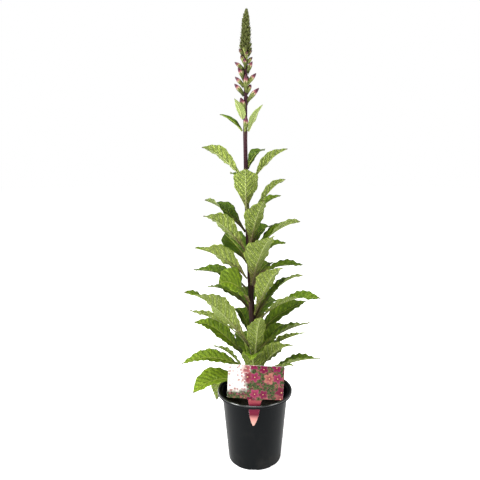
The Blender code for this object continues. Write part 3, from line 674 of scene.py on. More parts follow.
class FOXGLOVE_OT_leaves(bpy.types.Operator):
    """Build the leaves, one piece for each"""
    bl_idname = "foxglove.leaves"
    bl_label = "Leaves"

    def execute(self, context):
        look = context.scene.foxglove_leaf
        materials = [leaf_finish("leaf_upper_side", look, False), leaf_finish("leaf_underside", look, True)]
        for k, leaf in enumerate(LEAVES):
            draw = random.Random(SEEDS["leaf"] + k)
            node = f"leaf_{k + 1:02d}"
            tone = TONES[k] + draw.uniform(-0.05, 0.05)
            blush = max(0.0, min(1.0, 1.6 - abs(leaf.height - 330) / 130)) * draw.uniform(0.6, 1.0)
            piece = build_leaf(f"{node}_blade", leaf, look, materials, tone, blush, draw)
            stand_for(piece, node)
        return {"FINISHED"}


class FOXGLOVE_OT_bracts(bpy.types.Operator):
    """Build the large bracts under the lowest buds"""
    bl_idname = "foxglove.bracts"
    bl_label = "Bracts"

    def execute(self, context):
        look = context.scene.foxglove_leaf
        materials = [leaf_finish("bract_upper_side", look, False, True),
                     leaf_finish("bract_underside", look, True, True)]
        for k, (bract, tone) in enumerate(zip(BRACTS, BRACT_TONES)):
            node = f"bract_{k + 1}"
            draw = random.Random(SEEDS["bract"] + k)
            piece = build_leaf(f"{node}_blade", bract, look, materials, tone, BRACT_BLUSH, draw)
            stand_for(piece, node)
        return {"FINISHED"}


# ------------------------------------------------------------------ stem and buds
STEM_SIDES = 30
STEM_STEP = 3.0              # height between two rings of the stem
SEPALS = 5
SEPAL_THICKNESS = 0.32
SEPAL_HUG = 0.9              # how far a sepal's edge bends round the bud, in radians
BRACT_HALF_THICKNESS = 0.14
BRACT_DROP = 2.0             # from a bud's foot down to its small bract
RIPENING = (745, 690)        # heights between which the sepals open, from the cone downwards
CONE = (738, 803)            # heights of the cone's lowest and last bud


def stem_finish(look):
    """Plum skin with lighter streaks along it, nearly black within the spike. "stem" holds the height,
    and how near the place is to a leaf's foot."""
    shader = Shader("plum_stem", {"Specular IOR Level": 0.12})
    height, foot, _, _ = shader.attribute("stem")
    streaks = shader.noise(shader.place((1, 1, 0.05)), 420.0, 3.0)
    patches = shader.noise(shader.place((1, 1, 0.4)), 60.0, 2.0)
    light = shader.fade(streaks, 0.42, 0.72) * (1 - 0.65 * shader.fade(height, 600, 660))
    tint = shader.blend(light * 0.75, look.stem, look.stem_light)
    green = (1 - shader.fade(height, 180, 330)) * shader.fade(patches, 0.4, 0.65)
    tint = shader.blend(0.3 * green + 0.25 * foot * patches, tint, look.calyx)
    grain = shader.noise(shader.place((1, 1, 0.3)), 1500.0)
    return shader.paint({
        "Base Color": tint,
        "Roughness": 0.5 + 0.2 * (grain - 0.5),
        "Normal": shader.bump(streaks + 0.4 * grain, 0.0003, 0.6),
    })


def calyx_finish(look):
    """Downy green sepals with a lighter rib and dusky tips, and painted shade, nearly black, low down on
    the darker buds where they crowd together. "bud" holds the share of the bud's length, the place across
    the sepal and the bud's tone; a lower tone takes more of the painted shade."""
    shader = Shader("green_calyx", {"Specular IOR Level": 0.2})
    share, across, tone, _ = shader.attribute("bud")
    mottle = shader.noise(shader.place(), 330.0, 3.0)
    rib = 1 - shader.fade(abs(across), 0.05, 0.3)
    light = shader.fade(mottle + 0.9 * (tone - 0.5), 0.3, 0.85)
    tint = shader.blend(light, look.calyx, look.calyx_light)
    tint = shader.blend(0.35 * rib, tint, look.calyx_light)
    dusk = shader.fade(share, 0.62, 0.9) * (1 - 0.8 * tone)
    tint = shader.blend(0.7 * dusk, tint, look.petal_dark)
    # Painted shade, nearly black, low down on the darker buds where they crowd together.
    deep = (1 - shader.fade(share, 0.08, 0.42)) * (1 - shader.fade(tone, 0.35, 0.6))
    tint = shader.blend(0.85 * deep, tint, look.crevice_shade)
    return shader.paint({
        "Base Color": tint,
        "Roughness": 0.55 + 0.15 * (mottle - 0.5),
        "Normal": shader.bump(mottle + rib, 0.0003, 0.7),
    })


def petal_finish(look):
    """A closed flower: pale by its calyx, rose at its middle and dark plum at its end. "bud" holds the
    share of the bud's length and the bud's tone, with nothing between them."""
    shader = Shader("closed_petals", {"Specular IOR Level": 0.3})
    share, _, tone, _ = shader.attribute("bud")
    mottle = shader.noise(shader.place(), 260.0, 3.0)
    place = share + 0.10 * (mottle - 0.5) + 0.14 * (tone - 0.5)
    tint = shader.ramp(place, [(0.52, look.calyx_light), (0.61, look.petal_pale), (0.71, look.petal_rose),
                               (0.80, look.petal_dark)])
    return shader.paint({
        "Base Color": tint,
        "Roughness": 0.45 + 0.15 * (mottle - 0.5),
        "Normal": shader.bump(mottle, 0.00025, 0.5),
    })


def build_stem(look):
    """The stem from its foot in the soil up into the spike, swollen under each leaf."""
    feet = [(leaf.height, leaf.facing) for leaf in (*LEAVES, *BRACTS)]
    heights = np.arange(STEM[0, 0], STEM[-1, 0] + 0.1, STEM_STEP)
    turns = np.arange(STEM_SIDES) * 2 * pi / STEM_SIDES
    centres, radii, near = [], [], []
    for height in heights:
        centre, radius = stem_at(height)
        ring = radius * (0.97 + 0.03 * np.cos(5 * turns + height / 45))
        swell = np.zeros(STEM_SIDES)
        for foot, facing in feet:
            drop = height - foot
            reach = 5.0 if drop > 0 else 13.0
            swell += np.exp(-((drop / reach) ** 2)) * np.maximum(0, np.cos(turns - radians(facing))) ** 4
        centres.append(centre)
        radii.append(ring + 0.35 * np.minimum(swell, 1.3))
        near.append(float(swell.max()))
    values = np.stack((heights, np.minimum(1, near), 0 * heights), axis=-1)
    form = Form()
    form.upright(centres, radii, turns, 0, values)
    return form.make("stem", [stem_finish(look)], "stem")


def bud_axis(bud):
    """Where a bud starts inside the stem, and its direction."""
    foot, stem_radius = stem_at(bud.height)
    lean = radians(bud.lean)
    along = unit(sin(lean) * heading(bud.facing) + cos(lean) * UP)
    return foot + 0.3 * stem_radius * heading(bud.facing), along


def bud_swell(share):
    """A bud's half breadth at a share of its length, for a half breadth of 1 at its widest."""
    return np.interp(share, (0.0, 0.12, 0.28, 0.45, 0.60, 0.74, 0.86, 0.95, 1.0),
                     (0.24, 0.30, 0.66, 0.90, 0.96, 0.86, 0.62, 0.36, 0.12))


def add_sepal(form, bud, turn, start, end, breadth, flare, tone):
    """One sepal: a pointed oval that hugs a bud from a share start to a share end of its length.
    breadth is a share of the bud's, flare how far the tip stands off."""
    foot, along = bud_axis(bud)
    side, other = square_to(along)
    out = cos(turn) * side + sin(turn) * other
    level = np.cross(along, out)
    t = np.linspace(0, 1, 10)
    share = start + t * (end - start)
    stand = bud.breadth / 2 * bud_swell(share) + flare * t**3
    half = bud.breadth / 2 * breadth * np.sin(pi * (0.14 + 0.86 * t) ** 0.85) ** 0.75 + 0.08
    s = np.linspace(-1, 1, 5)
    hug = half[:, None] * np.sin(SEPAL_HUG * s)[None, :]
    sink = 0.55 * half[:, None] * (1 - np.cos(SEPAL_HUG * s))[None, :]
    middle = (foot + np.outer(share * bud.length, along))[:, None] + hug[..., None] * level
    outer = middle + (stand[:, None] - sink + SEPAL_THICKNESS)[..., None] * out
    inner = middle + (stand[:, None] - sink)[..., None] * out
    values = np.stack(np.broadcast_arrays(share[:, None], s[None, :], tone), axis=-1)
    form.blade(outer[:, ::-1], inner[:, ::-1], (0, 0), values[:, ::-1])


def build_bud(name, bud, materials, draw):
    """A large bud: stalk, closed flower, five sepals round it and a small bract behind it."""
    start, along = bud_axis(bud)
    tone = draw.uniform(0.15, 0.85)
    form = Form()
    ripe = float(ease(bud.height, *RIPENING))

    t = np.linspace(0, 1, 18)
    turns = np.arange(16) * 2 * pi / 16
    lobes = 1 - 0.10 * ease(t, 0.6, 1.0)[:, None] * np.cos(2.5 * turns)[None, :] ** 2
    nod = 0.25 * bud.breadth / 2 * ease(t, 0.55, 1.0)[:, None] * -UP
    centres = start + np.outer(t * bud.length, along) + nod
    values = np.stack((t, 0 * t, 0 * t + tone), axis=-1)
    form.tube(centres, (bud.breadth / 2 * bud_swell(t))[:, None] * lobes, 16, 1, values)

    for k in range(SEPALS):
        end = 0.68 + 0.20 * (1 - ripe) + draw.uniform(-0.05, 0.04)
        add_sepal(form, bud, k * 2 * pi / SEPALS + 0.4, 0.06, end, 0.74, draw.uniform(-0.1, 0.4), tone)

    add_bract(form, bud.height - BRACT_DROP, bud.facing + draw.uniform(-12, 12), 0.5 * bud.length,
              0.5 * bud.breadth, 0.9 * bud.lean, tone)
    return form.make(name, materials, "bud")


def add_bract(form, height, facing, length, breadth, lean, tone):
    """The small leaf under a bud: narrow, pointed and bent a little outwards."""
    foot, stem_radius = stem_at(height)
    out = heading(facing)
    level = np.cross(UP, out)
    t = np.linspace(0, 1, 9)
    bend = np.radians(lean * (1.15 - 0.3 * t))
    step = length / (len(t) - 1)
    ways = np.sin(bend)[:, None] * out + np.cos(bend)[:, None] * UP
    places = foot + (stem_radius + 0.3) * out + np.cumsum(ways, axis=0) * step
    half = breadth / 2 * np.sin(pi * (0.2 + 0.8 * t) ** 0.9) ** 0.8 + 0.06
    face = np.cross(ways, level)
    s = np.linspace(-1, 1, 5)
    flat = half[:, None] * s[None, :]
    lift = 0.35 * np.abs(flat)
    middle = places[:, None] + flat[..., None] * level + lift[..., None] * face[:, None]
    values = np.stack(np.broadcast_arrays(0.15 + 0.75 * t[:, None], s[None, :], tone), axis=-1)
    thick = BRACT_HALF_THICKNESS * face[:, None]
    form.blade(middle + thick, middle - thick, (0, 0), values)


def build_cone(look, materials):
    """The crowded end of the spike: small unripe buds in a spiral, each with its bract."""
    draw = random.Random(SEEDS["cone"])
    form = Form()
    count = look.cone_buds
    for k in range(count):
        share = k / (count - 1)
        height = CONE[0] + (CONE[1] - CONE[0]) * share**0.9
        length = 14.5 - 5.5 * share
        reach = np.interp(share, (0, 0.3, 0.6, 0.85, 1), (9.6, 7.6, 6.2, 4.4, 0.6)) * draw.uniform(0.86, 1.12)
        lean = degrees(asin(min(0.9, reach / length)))
        bud = Bud(height, k * GOLDEN_ANGLE, length, lean, 6.0 - 2.4 * share)
        start, along = bud_axis(bud)
        # Low tones, so that the cone's buds take the calyx's painted shade over their lower part.
        tone = draw.uniform(0.0, 0.42)
        t = np.linspace(0, 1, 9)
        turns = np.arange(10) * 2 * pi / 10
        swell = np.interp(t, (0, 0.3, 0.6, 0.85, 1), (0.4, 0.8, 1.0, 0.66, 0.12)) * bud.breadth / 2
        flutes = 1 - 0.2 * np.cos(2.5 * turns)[None, :] ** 2
        centres = start + np.outer(t * length, along)
        values = np.stack((0.62 * t, 0 * t + 0.5, 0 * t + tone), axis=-1)
        form.tube(centres, swell[:, None] * flutes, 10, 0, values)
        add_bract(form, height - BRACT_DROP, bud.facing, 0.7 * length, 0.45 * bud.breadth, lean, tone)
    return form.make("spike_cone", materials, "bud")


class FOXGLOVE_OT_stem(bpy.types.Operator):
    """Build the stem"""
    bl_idname = "foxglove.stem"
    bl_label = "Stem"

    def execute(self, context):
        stand_for(build_stem(context.scene.foxglove_spike), "flower_spike")
        return {"FINISHED"}


class FOXGLOVE_OT_buds(bpy.types.Operator):
    """Build the buds of the spike"""
    bl_idname = "foxglove.buds"
    bl_label = "Buds"

    def execute(self, context):
        look = context.scene.foxglove_spike
        materials = [calyx_finish(look), petal_finish(look)]
        for k, bud in enumerate(BUDS):
            piece = build_bud(f"bud_{k + 1:02d}", bud, materials, random.Random(SEEDS["bud"] + k))
        build_cone(look, materials)
        return {"FINISHED"}


# ------------------------------------------------------------------ pot, soil and label
POT_BASE_RADIUS = 49.6       # outside of the wall, carried down to z = 0
POT_TAPER = 0.0927           # growth of the wall's radius with height
POT_WALL = 1.6
POT_HEIGHT = 138.0
RIM_RADIUS = 69.95
RIM_BEAD = 3.8               # breadth of the rolled bead round the rim
LEDGE_HEIGHT = 133.0         # underside of the ledge between wall and bead
FLOOR_UNDERSIDE = 2.4
FLOOR_TOP = 4.4
BASE_PAD_RADIUS = 14.0
FOOT_RING = (38.0, 45.5)     # inner and outer radius of the ring the pot stands on
NOTCHES = 8                  # drainage notches through the foot ring, with a drain between each two
FIRST_NOTCH = -93.0          # angle of the notch at the front
NOTCH_SIZE = (18, 11, 4.4)   # of the notch's cutter, which reaches half its height into the pot
DRAIN_RADIUS = 4.5
DRAIN_CIRCLE = 28.0
DRAIN_CUT = 6.0              # height of a drain's cutter
BEAD_SHINE = (0.1355, 0.1366)   # heights in metres between which the rim turns glossy

SOIL_TOP = 106.0
SOIL_SIDES = 96
SOIL_RINGS = 34
SOIL_DEPTH = 9.0             # thickness of the disc that is modelled, with its top in sight
SOIL_WAVES = 14
SOIL_CRUMBS = 420

LABEL_PLANE = -64.4          # y of the label's middle plane
LABEL_THICKNESS = 0.8
LABEL_WIDTH = 98.0
LABEL_HEIGHT = 62.0
LABEL_CORNER = 2.5
LABEL_FOOT = 149.6           # height of the card's lower edge at its middle
LABEL_TAIL = 51.0            # length of the tail under the card
LABEL_LEAN = -3.0            # degrees, in the label's own plane
LABEL_SLOT_CLEARANCE = 0.6   # room for the tail at each edge of its slot in the ledge
LABEL_SLOT_CUT = (1.4, 6.0)  # depth and height of the slot's cutter
TAIL_TOP_HALF = 12.0
TAIL_SLOT_HALF = 9.6


def wall_radius(height):
    return POT_BASE_RADIUS + POT_TAPER * height


def arc(centre, radius, start, end, steps):
    """Points of an arc in the (radius, height) plane, its angles in degrees."""
    turns = np.radians(np.linspace(start, end, steps))
    return [(centre[0] + radius * cos(t), centre[1] + radius * sin(t)) for t in turns]


def plastic_finish(look):
    """Moulded black plastic: satin, with faint flow lines up the wall, fine pitting and dust below."""
    shader = Shader("black_plastic", {"Specular IOR Level": 0.05, "Coat Roughness": 0.16, "Coat IOR": 1.8})
    flow = shader.noise(shader.place((1, 1, 0.06)), 240.0, 3.0)
    grain = shader.noise(shader.place(), 1800.0, 2.0)
    cloud = shader.noise(shader.place(), 26.0, 4.0, 0.6)
    height = shader.node("SeparateXYZ", sockets={0: shader.place()}, out=2)
    dust = (1 - shader.fade(height, 0.004, 0.034)) * shader.fade(cloud, 0.42, 0.7)
    tint = shader.blend(0.10 * dust + 0.02 * shader.fade(cloud, 0.5, 0.75), look.plastic, look.dust)
    return shader.paint({
        "Base Color": tint,
        "Roughness": 0.30 + 0.14 * (cloud - 0.5) + 0.08 * flow + 0.22 * dust,
        "Coat Weight": 0.9 * shader.fade(height, *BEAD_SHINE),
        "Normal": shader.bump(0.5 * flow + 0.35 * grain, 0.00012, 0.6),
    })


def build_pot(look):
    """The turned pot with its rolled bead, ledge, rounded foot, drainage notches and drain holes."""
    inner, outer = FOOT_RING
    ledge_in = wall_radius(LEDGE_HEIGHT)
    bead_in = RIM_RADIUS - RIM_BEAD
    inside = wall_radius(8) - POT_WALL
    profile = [
        (0, 0), (BASE_PAD_RADIUS, 0), *arc((BASE_PAD_RADIUS, 1.2), 1.2, -90, -20, 4),
        (BASE_PAD_RADIUS + 1.6, FLOOR_UNDERSIDE), (inner - 1.4, FLOOR_UNDERSIDE),
        (inner - 0.6, 0.6), (inner + 0.3, 0.0), (outer - 0.6, 0.0), (outer + 0.6, 0.15),
        *arc((wall_radius(3) - 3.0, 3.0), 3.0, -70, -4, 7),
        *((wall_radius(height), height) for height in (12, 40, 70, 100, 120, 129)),
        (ledge_in, LEDGE_HEIGHT - 0.6), (ledge_in + 0.8, LEDGE_HEIGHT + 0.1),
        (bead_in - 0.6, LEDGE_HEIGHT + 0.3), (bead_in + 0.1, LEDGE_HEIGHT - 0.8),
        (bead_in + 0.7, LEDGE_HEIGHT - 1.2), (RIM_RADIUS - 1.1, LEDGE_HEIGHT - 1.2),
        *arc((RIM_RADIUS - 1.1, LEDGE_HEIGHT - 0.1), 1.1, -75, 0, 5),
        *arc((RIM_RADIUS - 1.9, POT_HEIGHT - 1.9), 1.9, 0, 180, 14),
        (bead_in, LEDGE_HEIGHT + 2.4), (bead_in - 0.5, LEDGE_HEIGHT + 1.9),
        (ledge_in - 0.6, LEDGE_HEIGHT + 1.7), (ledge_in - POT_WALL, LEDGE_HEIGHT + 0.7),
        *((wall_radius(height) - POT_WALL, height) for height in (128, 118, 106, 80, 50, 20, 9)),
        (inside - 1.0, FLOOR_TOP + 1.2), (inside - 3.6, FLOOR_TOP), (0, FLOOR_TOP),
    ]

    form = bmesh.new()
    points = [form.verts.new((r * MM, 0, z * MM)) for r, z in profile]
    line = [form.edges.new(pair) for pair in zip(points, points[1:])]
    bmesh.ops.spin(form, geom=points + line, axis=(0, 0, 1), cent=(0, 0, 0), angle=2 * pi,
                   steps=look.sides, use_merge=True)
    bmesh.ops.remove_doubles(form, verts=form.verts, dist=0.000002)
    bmesh.ops.recalc_face_normals(form, faces=form.faces)
    mesh = bpy.data.meshes.new("nursery_pot")
    form.to_mesh(mesh)
    form.free()
    pot = bpy.data.objects.new("nursery_pot", mesh)
    bpy.context.scene.collection.objects.link(pot)

    group = bpy.data.collections.new("pot_cutters")

    def cutter(add, middle, scale=(1, 1, 1), turn=0.0, **size):
        """Adds a cutter from one of Blender's own meshes, with its middle in millimetres."""
        add(location=[n * MM for n in middle], rotation=(0, 0, turn), **size)
        body = bpy.context.object
        body.scale = scale
        for home in list(body.users_collection):
            home.objects.unlink(body)
        group.objects.link(body)

    for k in range(NOTCHES):
        turn = radians(FIRST_NOTCH + k * 360 / NOTCHES)
        reach = (inner + outer) / 2 + 3
        cutter(bpy.ops.mesh.primitive_cube_add, (reach * cos(turn), reach * sin(turn), 0), NOTCH_SIZE, turn,
               size=MM)
        turn += pi / NOTCHES
        middle = (DRAIN_CIRCLE * cos(turn), DRAIN_CIRCLE * sin(turn), (FLOOR_UNDERSIDE + FLOOR_TOP) / 2)
        cutter(bpy.ops.mesh.primitive_cylinder_add, middle, vertices=28, radius=DRAIN_RADIUS * MM,
               depth=DRAIN_CUT * MM)
    cutter(bpy.ops.mesh.primitive_cube_add, label_point(0, LEDGE_HEIGHT + 1.5 - LABEL_FOOT),
           (2 * (TAIL_SLOT_HALF + LABEL_SLOT_CLEARANCE), *LABEL_SLOT_CUT), size=MM)
    bpy.context.scene.collection.children.link(group)
    cut = pot.modifiers.new("Holes", "BOOLEAN")
    cut.operation, cut.operand_type, cut.collection, cut.solver = "DIFFERENCE", "COLLECTION", group, "EXACT"
    graph = bpy.context.evaluated_depsgraph_get()
    shape = bpy.data.meshes.new_from_object(pot.evaluated_get(graph))
    pot.modifiers.clear()
    pot.data = shape
    for body in list(group.objects):
        bpy.data.objects.remove(body)
    bpy.data.collections.remove(group)
    shape.materials.clear()
    shape.materials.append(plastic_finish(look))
    shape.shade_smooth()
    shape.set_sharp_from_angle(angle=radians(40))
    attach(pot, "root")
    return pot


def soil_finish(look):
    """Moist peat and bark: dark crumbs with paler fibres and a few light grains. The peat is kept near black,
    partly as painted shade for the inside of the pot.
    """
    shader = Shader("potting_soil", {"Specular IOR Level": 0.25})
    crumbs = shader.noise(shader.place(), 420.0, 5.0, 0.65)
    fibres = shader.noise(shader.place((1, 0.25, 1)), 900.0, 2.0)
    cells = shader.node("TexVoronoi", sockets={"Vector": shader.place(), "Scale": 330.0}, out="Distance")
    tint = shader.blend(shader.fade(crumbs, 0.4, 0.75), look.soil, look.bark)
    tint = shader.blend(0.5 * shader.fade(fibres, 0.66, 0.74), tint, look.fibre)
    return shader.paint({
        "Base Color": tint,
        "Roughness": 0.85 + 0.1 * (crumbs - 0.5),
        "Normal": shader.bump(crumbs + 0.6 * cells, 0.0012, 0.9),
    })


def build_soil(look):
    """The soil: an uneven round top with crumbs and chips of bark strewn over it."""
    draw = random.Random(SEEDS["soil"])
    waves = [(draw.uniform(0.05, 0.5), draw.uniform(0, 6.3), draw.uniform(0, 6.3))
             for _ in range(SOIL_WAVES)]

    def level(x, y):
        """Height of the soil over its mean level."""
        rough = 0.0
        for pitch, turn, shift in waves:
            rough = rough + 0.42 / (1 + 3 * pitch) * np.sin(pitch * (x * cos(turn) + y * sin(turn)) + shift)
        return rough - 0.02 * np.hypot(x, y)

    stem, stem_radius = stem_at(SOIL_TOP)
    inner = stem_radius + 0.3
    outer = wall_radius(SOIL_TOP) - POT_WALL - 0.6
    turns = np.arange(SOIL_SIDES) * 2 * pi / SOIL_SIDES
    points = []
    for share in np.linspace(0, 1, SOIL_RINGS):
        radius = inner + share * (outer - inner)
        x = stem[0] * (1 - share) + radius * np.cos(turns)
        y = radius * np.sin(turns)
        z = SOIL_TOP + 1.0 + level(x, y)
        points.append(np.stack((x, y, z), axis=-1))
    below = [points[k] * (1, 1, 0) + (0, 0, SOIL_TOP - SOIL_DEPTH) for k in (0, -1)]
    loops = [below[0], *points, below[1]]
    faces = []
    for k in range(len(loops)):
        here, there = k * SOIL_SIDES, (k + 1) % len(loops) * SOIL_SIDES
        for j in range(SOIL_SIDES):
            n = (j + 1) % SOIL_SIDES
            faces.append((here + j, there + j, there + n, here + n))
    form = Form()
    form.add(np.vstack(loops), faces, 0, (0, 0, 0))
    for _ in range(SOIL_CRUMBS):
        turn = draw.uniform(0, 2 * pi)
        radius = 9 + (outer - 14) * draw.random() ** 0.5
        x, y = radius * cos(turn), radius * sin(turn)
        size = draw.uniform(0.7, 2.6)
        z = SOIL_TOP + 1.0 + float(level(np.array(x), np.array(y))) + 0.15 * size
        long, spin, tip = draw.uniform(1.0, 2.4), draw.uniform(0, pi), draw.uniform(-0.5, 0.5)
        way = np.array((cos(spin) * cos(tip), sin(spin) * cos(tip), sin(tip)))
        centres = np.array((x, y, z)) + np.outer(np.array((-0.5, -0.2, 0.25, 0.5)) * size * long, way)
        radii = np.array([[draw.uniform(0.5, 1) for _ in range(6)] for _ in range(4)]) * 0.4 * size
        radii[0] *= 0.5
        radii[3] *= 0.5
        form.tube(centres, radii, 6, 0, np.zeros((4, 3)))
    return form.make("potting_soil", [soil_finish(look)], "grain", 50)


def label_point(across, up, depth=0.0):
    """A point of the label from its place across and above the middle of the card's lower edge."""
    c, s = cos(radians(LABEL_LEAN)), sin(radians(LABEL_LEAN))
    return np.array((c * across - s * up, LABEL_PLANE + depth, LABEL_FOOT + s * across + c * up))


PRINT_GREENS = ((0.006, 0.014, 0.002), (0.062, 0.087, 0.025))
PRINT_CREAMS = ((0.774, 0.756, 0.702), (0.666, 0.558, 0.504))
BLOSSOM_STOPS = ((0.0, (0.093, 0.002, 0.022)), (0.3, (0.167, 0.009, 0.053)), (0.55, (0.26, 0.031, 0.081)),
                 (0.8, (0.341, 0.124, 0.093)), (1.0, (0.124, 0.003, 0.028)))
BLOSSOM_THROAT = (0.099, 0.002, 0.019)
BLOSSOM_EDGE = (0.372, 0.136, 0.174)
BLOSSOM_EYE = (0.765, 0.558, 0.225)
# from the tail's tip up to the card
TAIL_STOPS = ((0.0, (0.62, 0.34, 0.27)), (0.26, (0.46, 0.19, 0.17)), (0.40, (0.11, 0.004, 0.018)),
              (0.7, (0.17, 0.006, 0.035)), (1.0, (0.30, 0.060, 0.060)))
CARD_WHITES = ((0.80, 0.79, 0.77), (0.70, 0.69, 0.66))


def label_finish():
    """The printed front: plain five-petalled blossoms over leaf green, paler towards one side.
    "print" holds the place across and above the card's lower left corner, in millimetres."""
    shader = Shader("printed_front", {"Specular IOR Level": 0.12})
    across, up, _, place = shader.attribute("print")
    drift = shader.noise(place, 0.06, 3.0)
    fine = shader.noise(place, 0.35, 3.0)

    def blossoms(pitch, reach, rotate, seed):
        """A mask of blossoms on a loose grid, their own random number and the distance from the middle."""
        shift = shader.node("VectorMath", {"operation": "ADD"}, {0: place, 1: (seed, 2.3 * seed, 0)})
        cell = {"Vector": shift, "Scale": 1 / pitch, "Randomness": 0.75}
        flat = {"voronoi_dimensions": "2D"}
        middle = shader.node("TexVoronoi", flat, cell, "Position")
        lot = shader.node("TexVoronoi", flat, cell, "Color")
        local = shader.node("VectorMath", {"operation": "SUBTRACT"}, {0: shift, 1: middle})
        x, y = (shader.node("SeparateXYZ", sockets={0: local}, out=k) for k in (0, 1))
        chance = shader.node("SeparateColor", sockets={0: lot}, out=0)
        distance = shader.maths("SQRT", x * x + y * y)
        turn = shader.maths("ARCTAN2", y, x) + rotate * chance
        petals = 0.55 + 0.45 * abs(shader.maths("COSINE", 2.5 * turn))
        inside = distance / (reach * (0.75 + 0.35 * chance)) / petals
        return 1 - shader.fade(inside + 0.3 * (fine - 0.5), 0.72, 1.02), chance, inside

    green = shader.blend(shader.fade(fine, 0.35, 0.65), *PRINT_GREENS)
    cream = shader.blend(shader.fade(drift, 0.4, 0.7), *PRINT_CREAMS)
    ground = shader.blend(shader.fade(across + 22 * (drift - 0.5), 26, 40), cream, green)
    ground = shader.blend(1 - shader.fade(up + 24 * (drift - 0.5) + 10 * (fine - 0.5), 8, 22), ground, green)
    tint = ground
    for pitch, reach, rotate, seed, keep in (
            (6.5, 3.0, 5.0, 11.0, 0.8 * shader.fade(drift, 0.36, 0.52)),
            (20.0, 12.0, 3.0, 40.0, shader.fade(across + 16 * (drift - 0.5), 20, 34))):
        mask, chance, inside = blossoms(pitch, reach, rotate, seed)
        petal = shader.ramp(chance, BLOSSOM_STOPS)
        petal = shader.blend(0.75 * (1 - shader.fade(inside, 0.10, 0.80)), petal, BLOSSOM_THROAT)
        petal = shader.blend(0.5 * shader.fade(inside + 0.5 * (fine - 0.5), 0.75, 0.98), petal, BLOSSOM_EDGE)
        petal = shader.blend(0.7 * (1 - shader.fade(inside, 0.05, 0.14)), petal, BLOSSOM_EYE)
        tint = shader.blend(mask * keep, tint, petal)
    tail = 1 - shader.fade(up, -6, 0)
    tint = shader.blend(tail, tint, shader.ramp((up + LABEL_TAIL) / LABEL_TAIL, TAIL_STOPS))
    return shader.paint({"Base Color": tint, "Roughness": 0.30 + 0.1 * fine,
                         "Normal": shader.bump(fine, 0.00004, 0.4)})


def label_back_finish():
    """The plain white back and edges of the card, a little rubbed."""
    shader = Shader("card_back", {"Specular IOR Level": 0.4})
    cloud = shader.noise(shader.place(), 60.0, 4.0)
    tint = shader.blend(shader.fade(cloud, 0.35, 0.7), *CARD_WHITES)
    return shader.paint({"Base Color": tint, "Roughness": 0.4 + 0.15 * (cloud - 0.5)})


def build_label():
    """The label: one card with rounded corners and soft edges, and a tail that tapers to a point."""
    half, corner = LABEL_WIDTH / 2, LABEL_CORNER
    outline = []
    for cx, cy, start in ((-half + corner, LABEL_HEIGHT - corner, 90), (-half + corner, corner, 180),
                          (half - corner, corner, 270), (half - corner, LABEL_HEIGHT - corner, 0)):
        outline += arc((cx, cy), corner, start, start + 90, 8)
        if start == 180:
            edge = [(-TAIL_TOP_HALF - 3, 0), (-TAIL_TOP_HALF, -2.5), (-TAIL_SLOT_HALF, -14), (-9.3, -24),
                    (-7.6, -34), (-4.6, -44), (-1.2, -LABEL_TAIL)]
            outline += edge + [(-x, y) for x, y in reversed(edge)]
    form = bmesh.new()
    flat = form.faces.new([form.verts.new((x, y, 0)) for x, y in outline])
    body = bmesh.ops.extrude_face_region(form, geom=[flat])
    raised = [one for one in body["geom"] if isinstance(one, bmesh.types.BMVert)]
    bmesh.ops.translate(form, verts=raised, vec=(0, 0, LABEL_THICKNESS))
    rims = [edge for edge in form.edges if abs(edge.verts[0].co.z - edge.verts[1].co.z) < 0.01]
    bmesh.ops.bevel(form, geom=rims, offset=0.2, segments=2, profile=0.5, affect="EDGES")
    bmesh.ops.recalc_face_normals(form, faces=form.faces)
    bmesh.ops.triangulate(form, faces=[face for face in form.faces if len(face.verts) > 4])
    mesh = bpy.data.meshes.new("picture_label")
    places = [(vert.co.x, vert.co.y) for vert in form.verts]
    for vert in form.verts:
        vert.co = label_point(vert.co.x, vert.co.y, LABEL_THICKNESS / 2 - vert.co.z) * MM
    form.to_mesh(mesh)
    form.free()
    for material in (label_finish(), label_back_finish()):
        mesh.materials.append(material)
    for face in mesh.polygons:
        face.material_index = 0 if face.normal.y < -0.9 else 1
    layer = mesh.attributes.new("print", "FLOAT_VECTOR", "POINT")
    layer.data.foreach_set("vector", [n for x, y in places for n in (x + half, y, 0.0)])
    mesh.shade_smooth()
    mesh.set_sharp_from_angle(angle=radians(40))
    return settle(bpy.data.objects.new("picture_label", mesh))


class FOXGLOVE_OT_pot(bpy.types.Operator):
    """Build the nursery pot"""
    bl_idname = "foxglove.pot"
    bl_label = "Pot"

    def execute(self, context):
        stand_for(build_pot(context.scene.foxglove_pot), "pot")
        return {"FINISHED"}


class FOXGLOVE_OT_soil(bpy.types.Operator):
    """Build the soil in the pot"""
    bl_idname = "foxglove.soil"
    bl_label = "Soil"

    def execute(self, context):
        stand_for(build_soil(context.scene.foxglove_pot), "soil")
        return {"FINISHED"}


class FOXGLOVE_OT_label(bpy.types.Operator):
    """Build the picture label"""
    bl_idname = "foxglove.label"
    bl_label = "Label"

    def execute(self, context):
        stand_for(build_label(), "label")
        return {"FINISHED"}


# ------------------------------------------------------------------ stage
FLOOR_RADIUS = 9.0           # the stage is in metres and watts
FLOOR_DROP = 0.0002          # how far the floor lies under the pot
FLOOR_GLOW = 0.8
ROOM_LIGHT = 0.28            # strength of the white room as a light
# name, place, target, side of the square, power
LIGHTS = (
    ("left_box", (-1.6, -0.8, 1.2), (0, 0, 0.35), 0.8, 54),
    ("right_box", (1.6, -0.9, 1.2), (0, 0, 0.35), 0.9, 28),
    ("top_box", (-0.2, -0.2, 2.4), (0, 0, 0.3), 1.0, 40),
)


def floor_finish(tint):
    """A matt pale floor that glows a little, as a lit sweep does."""
    shader = Shader("pale_floor",
                    {"Roughness": 0.9, "Specular IOR Level": 0.1, "Emission Strength": FLOOR_GLOW})
    return shader.paint({"Base Color": tint, "Emission Color": tint})


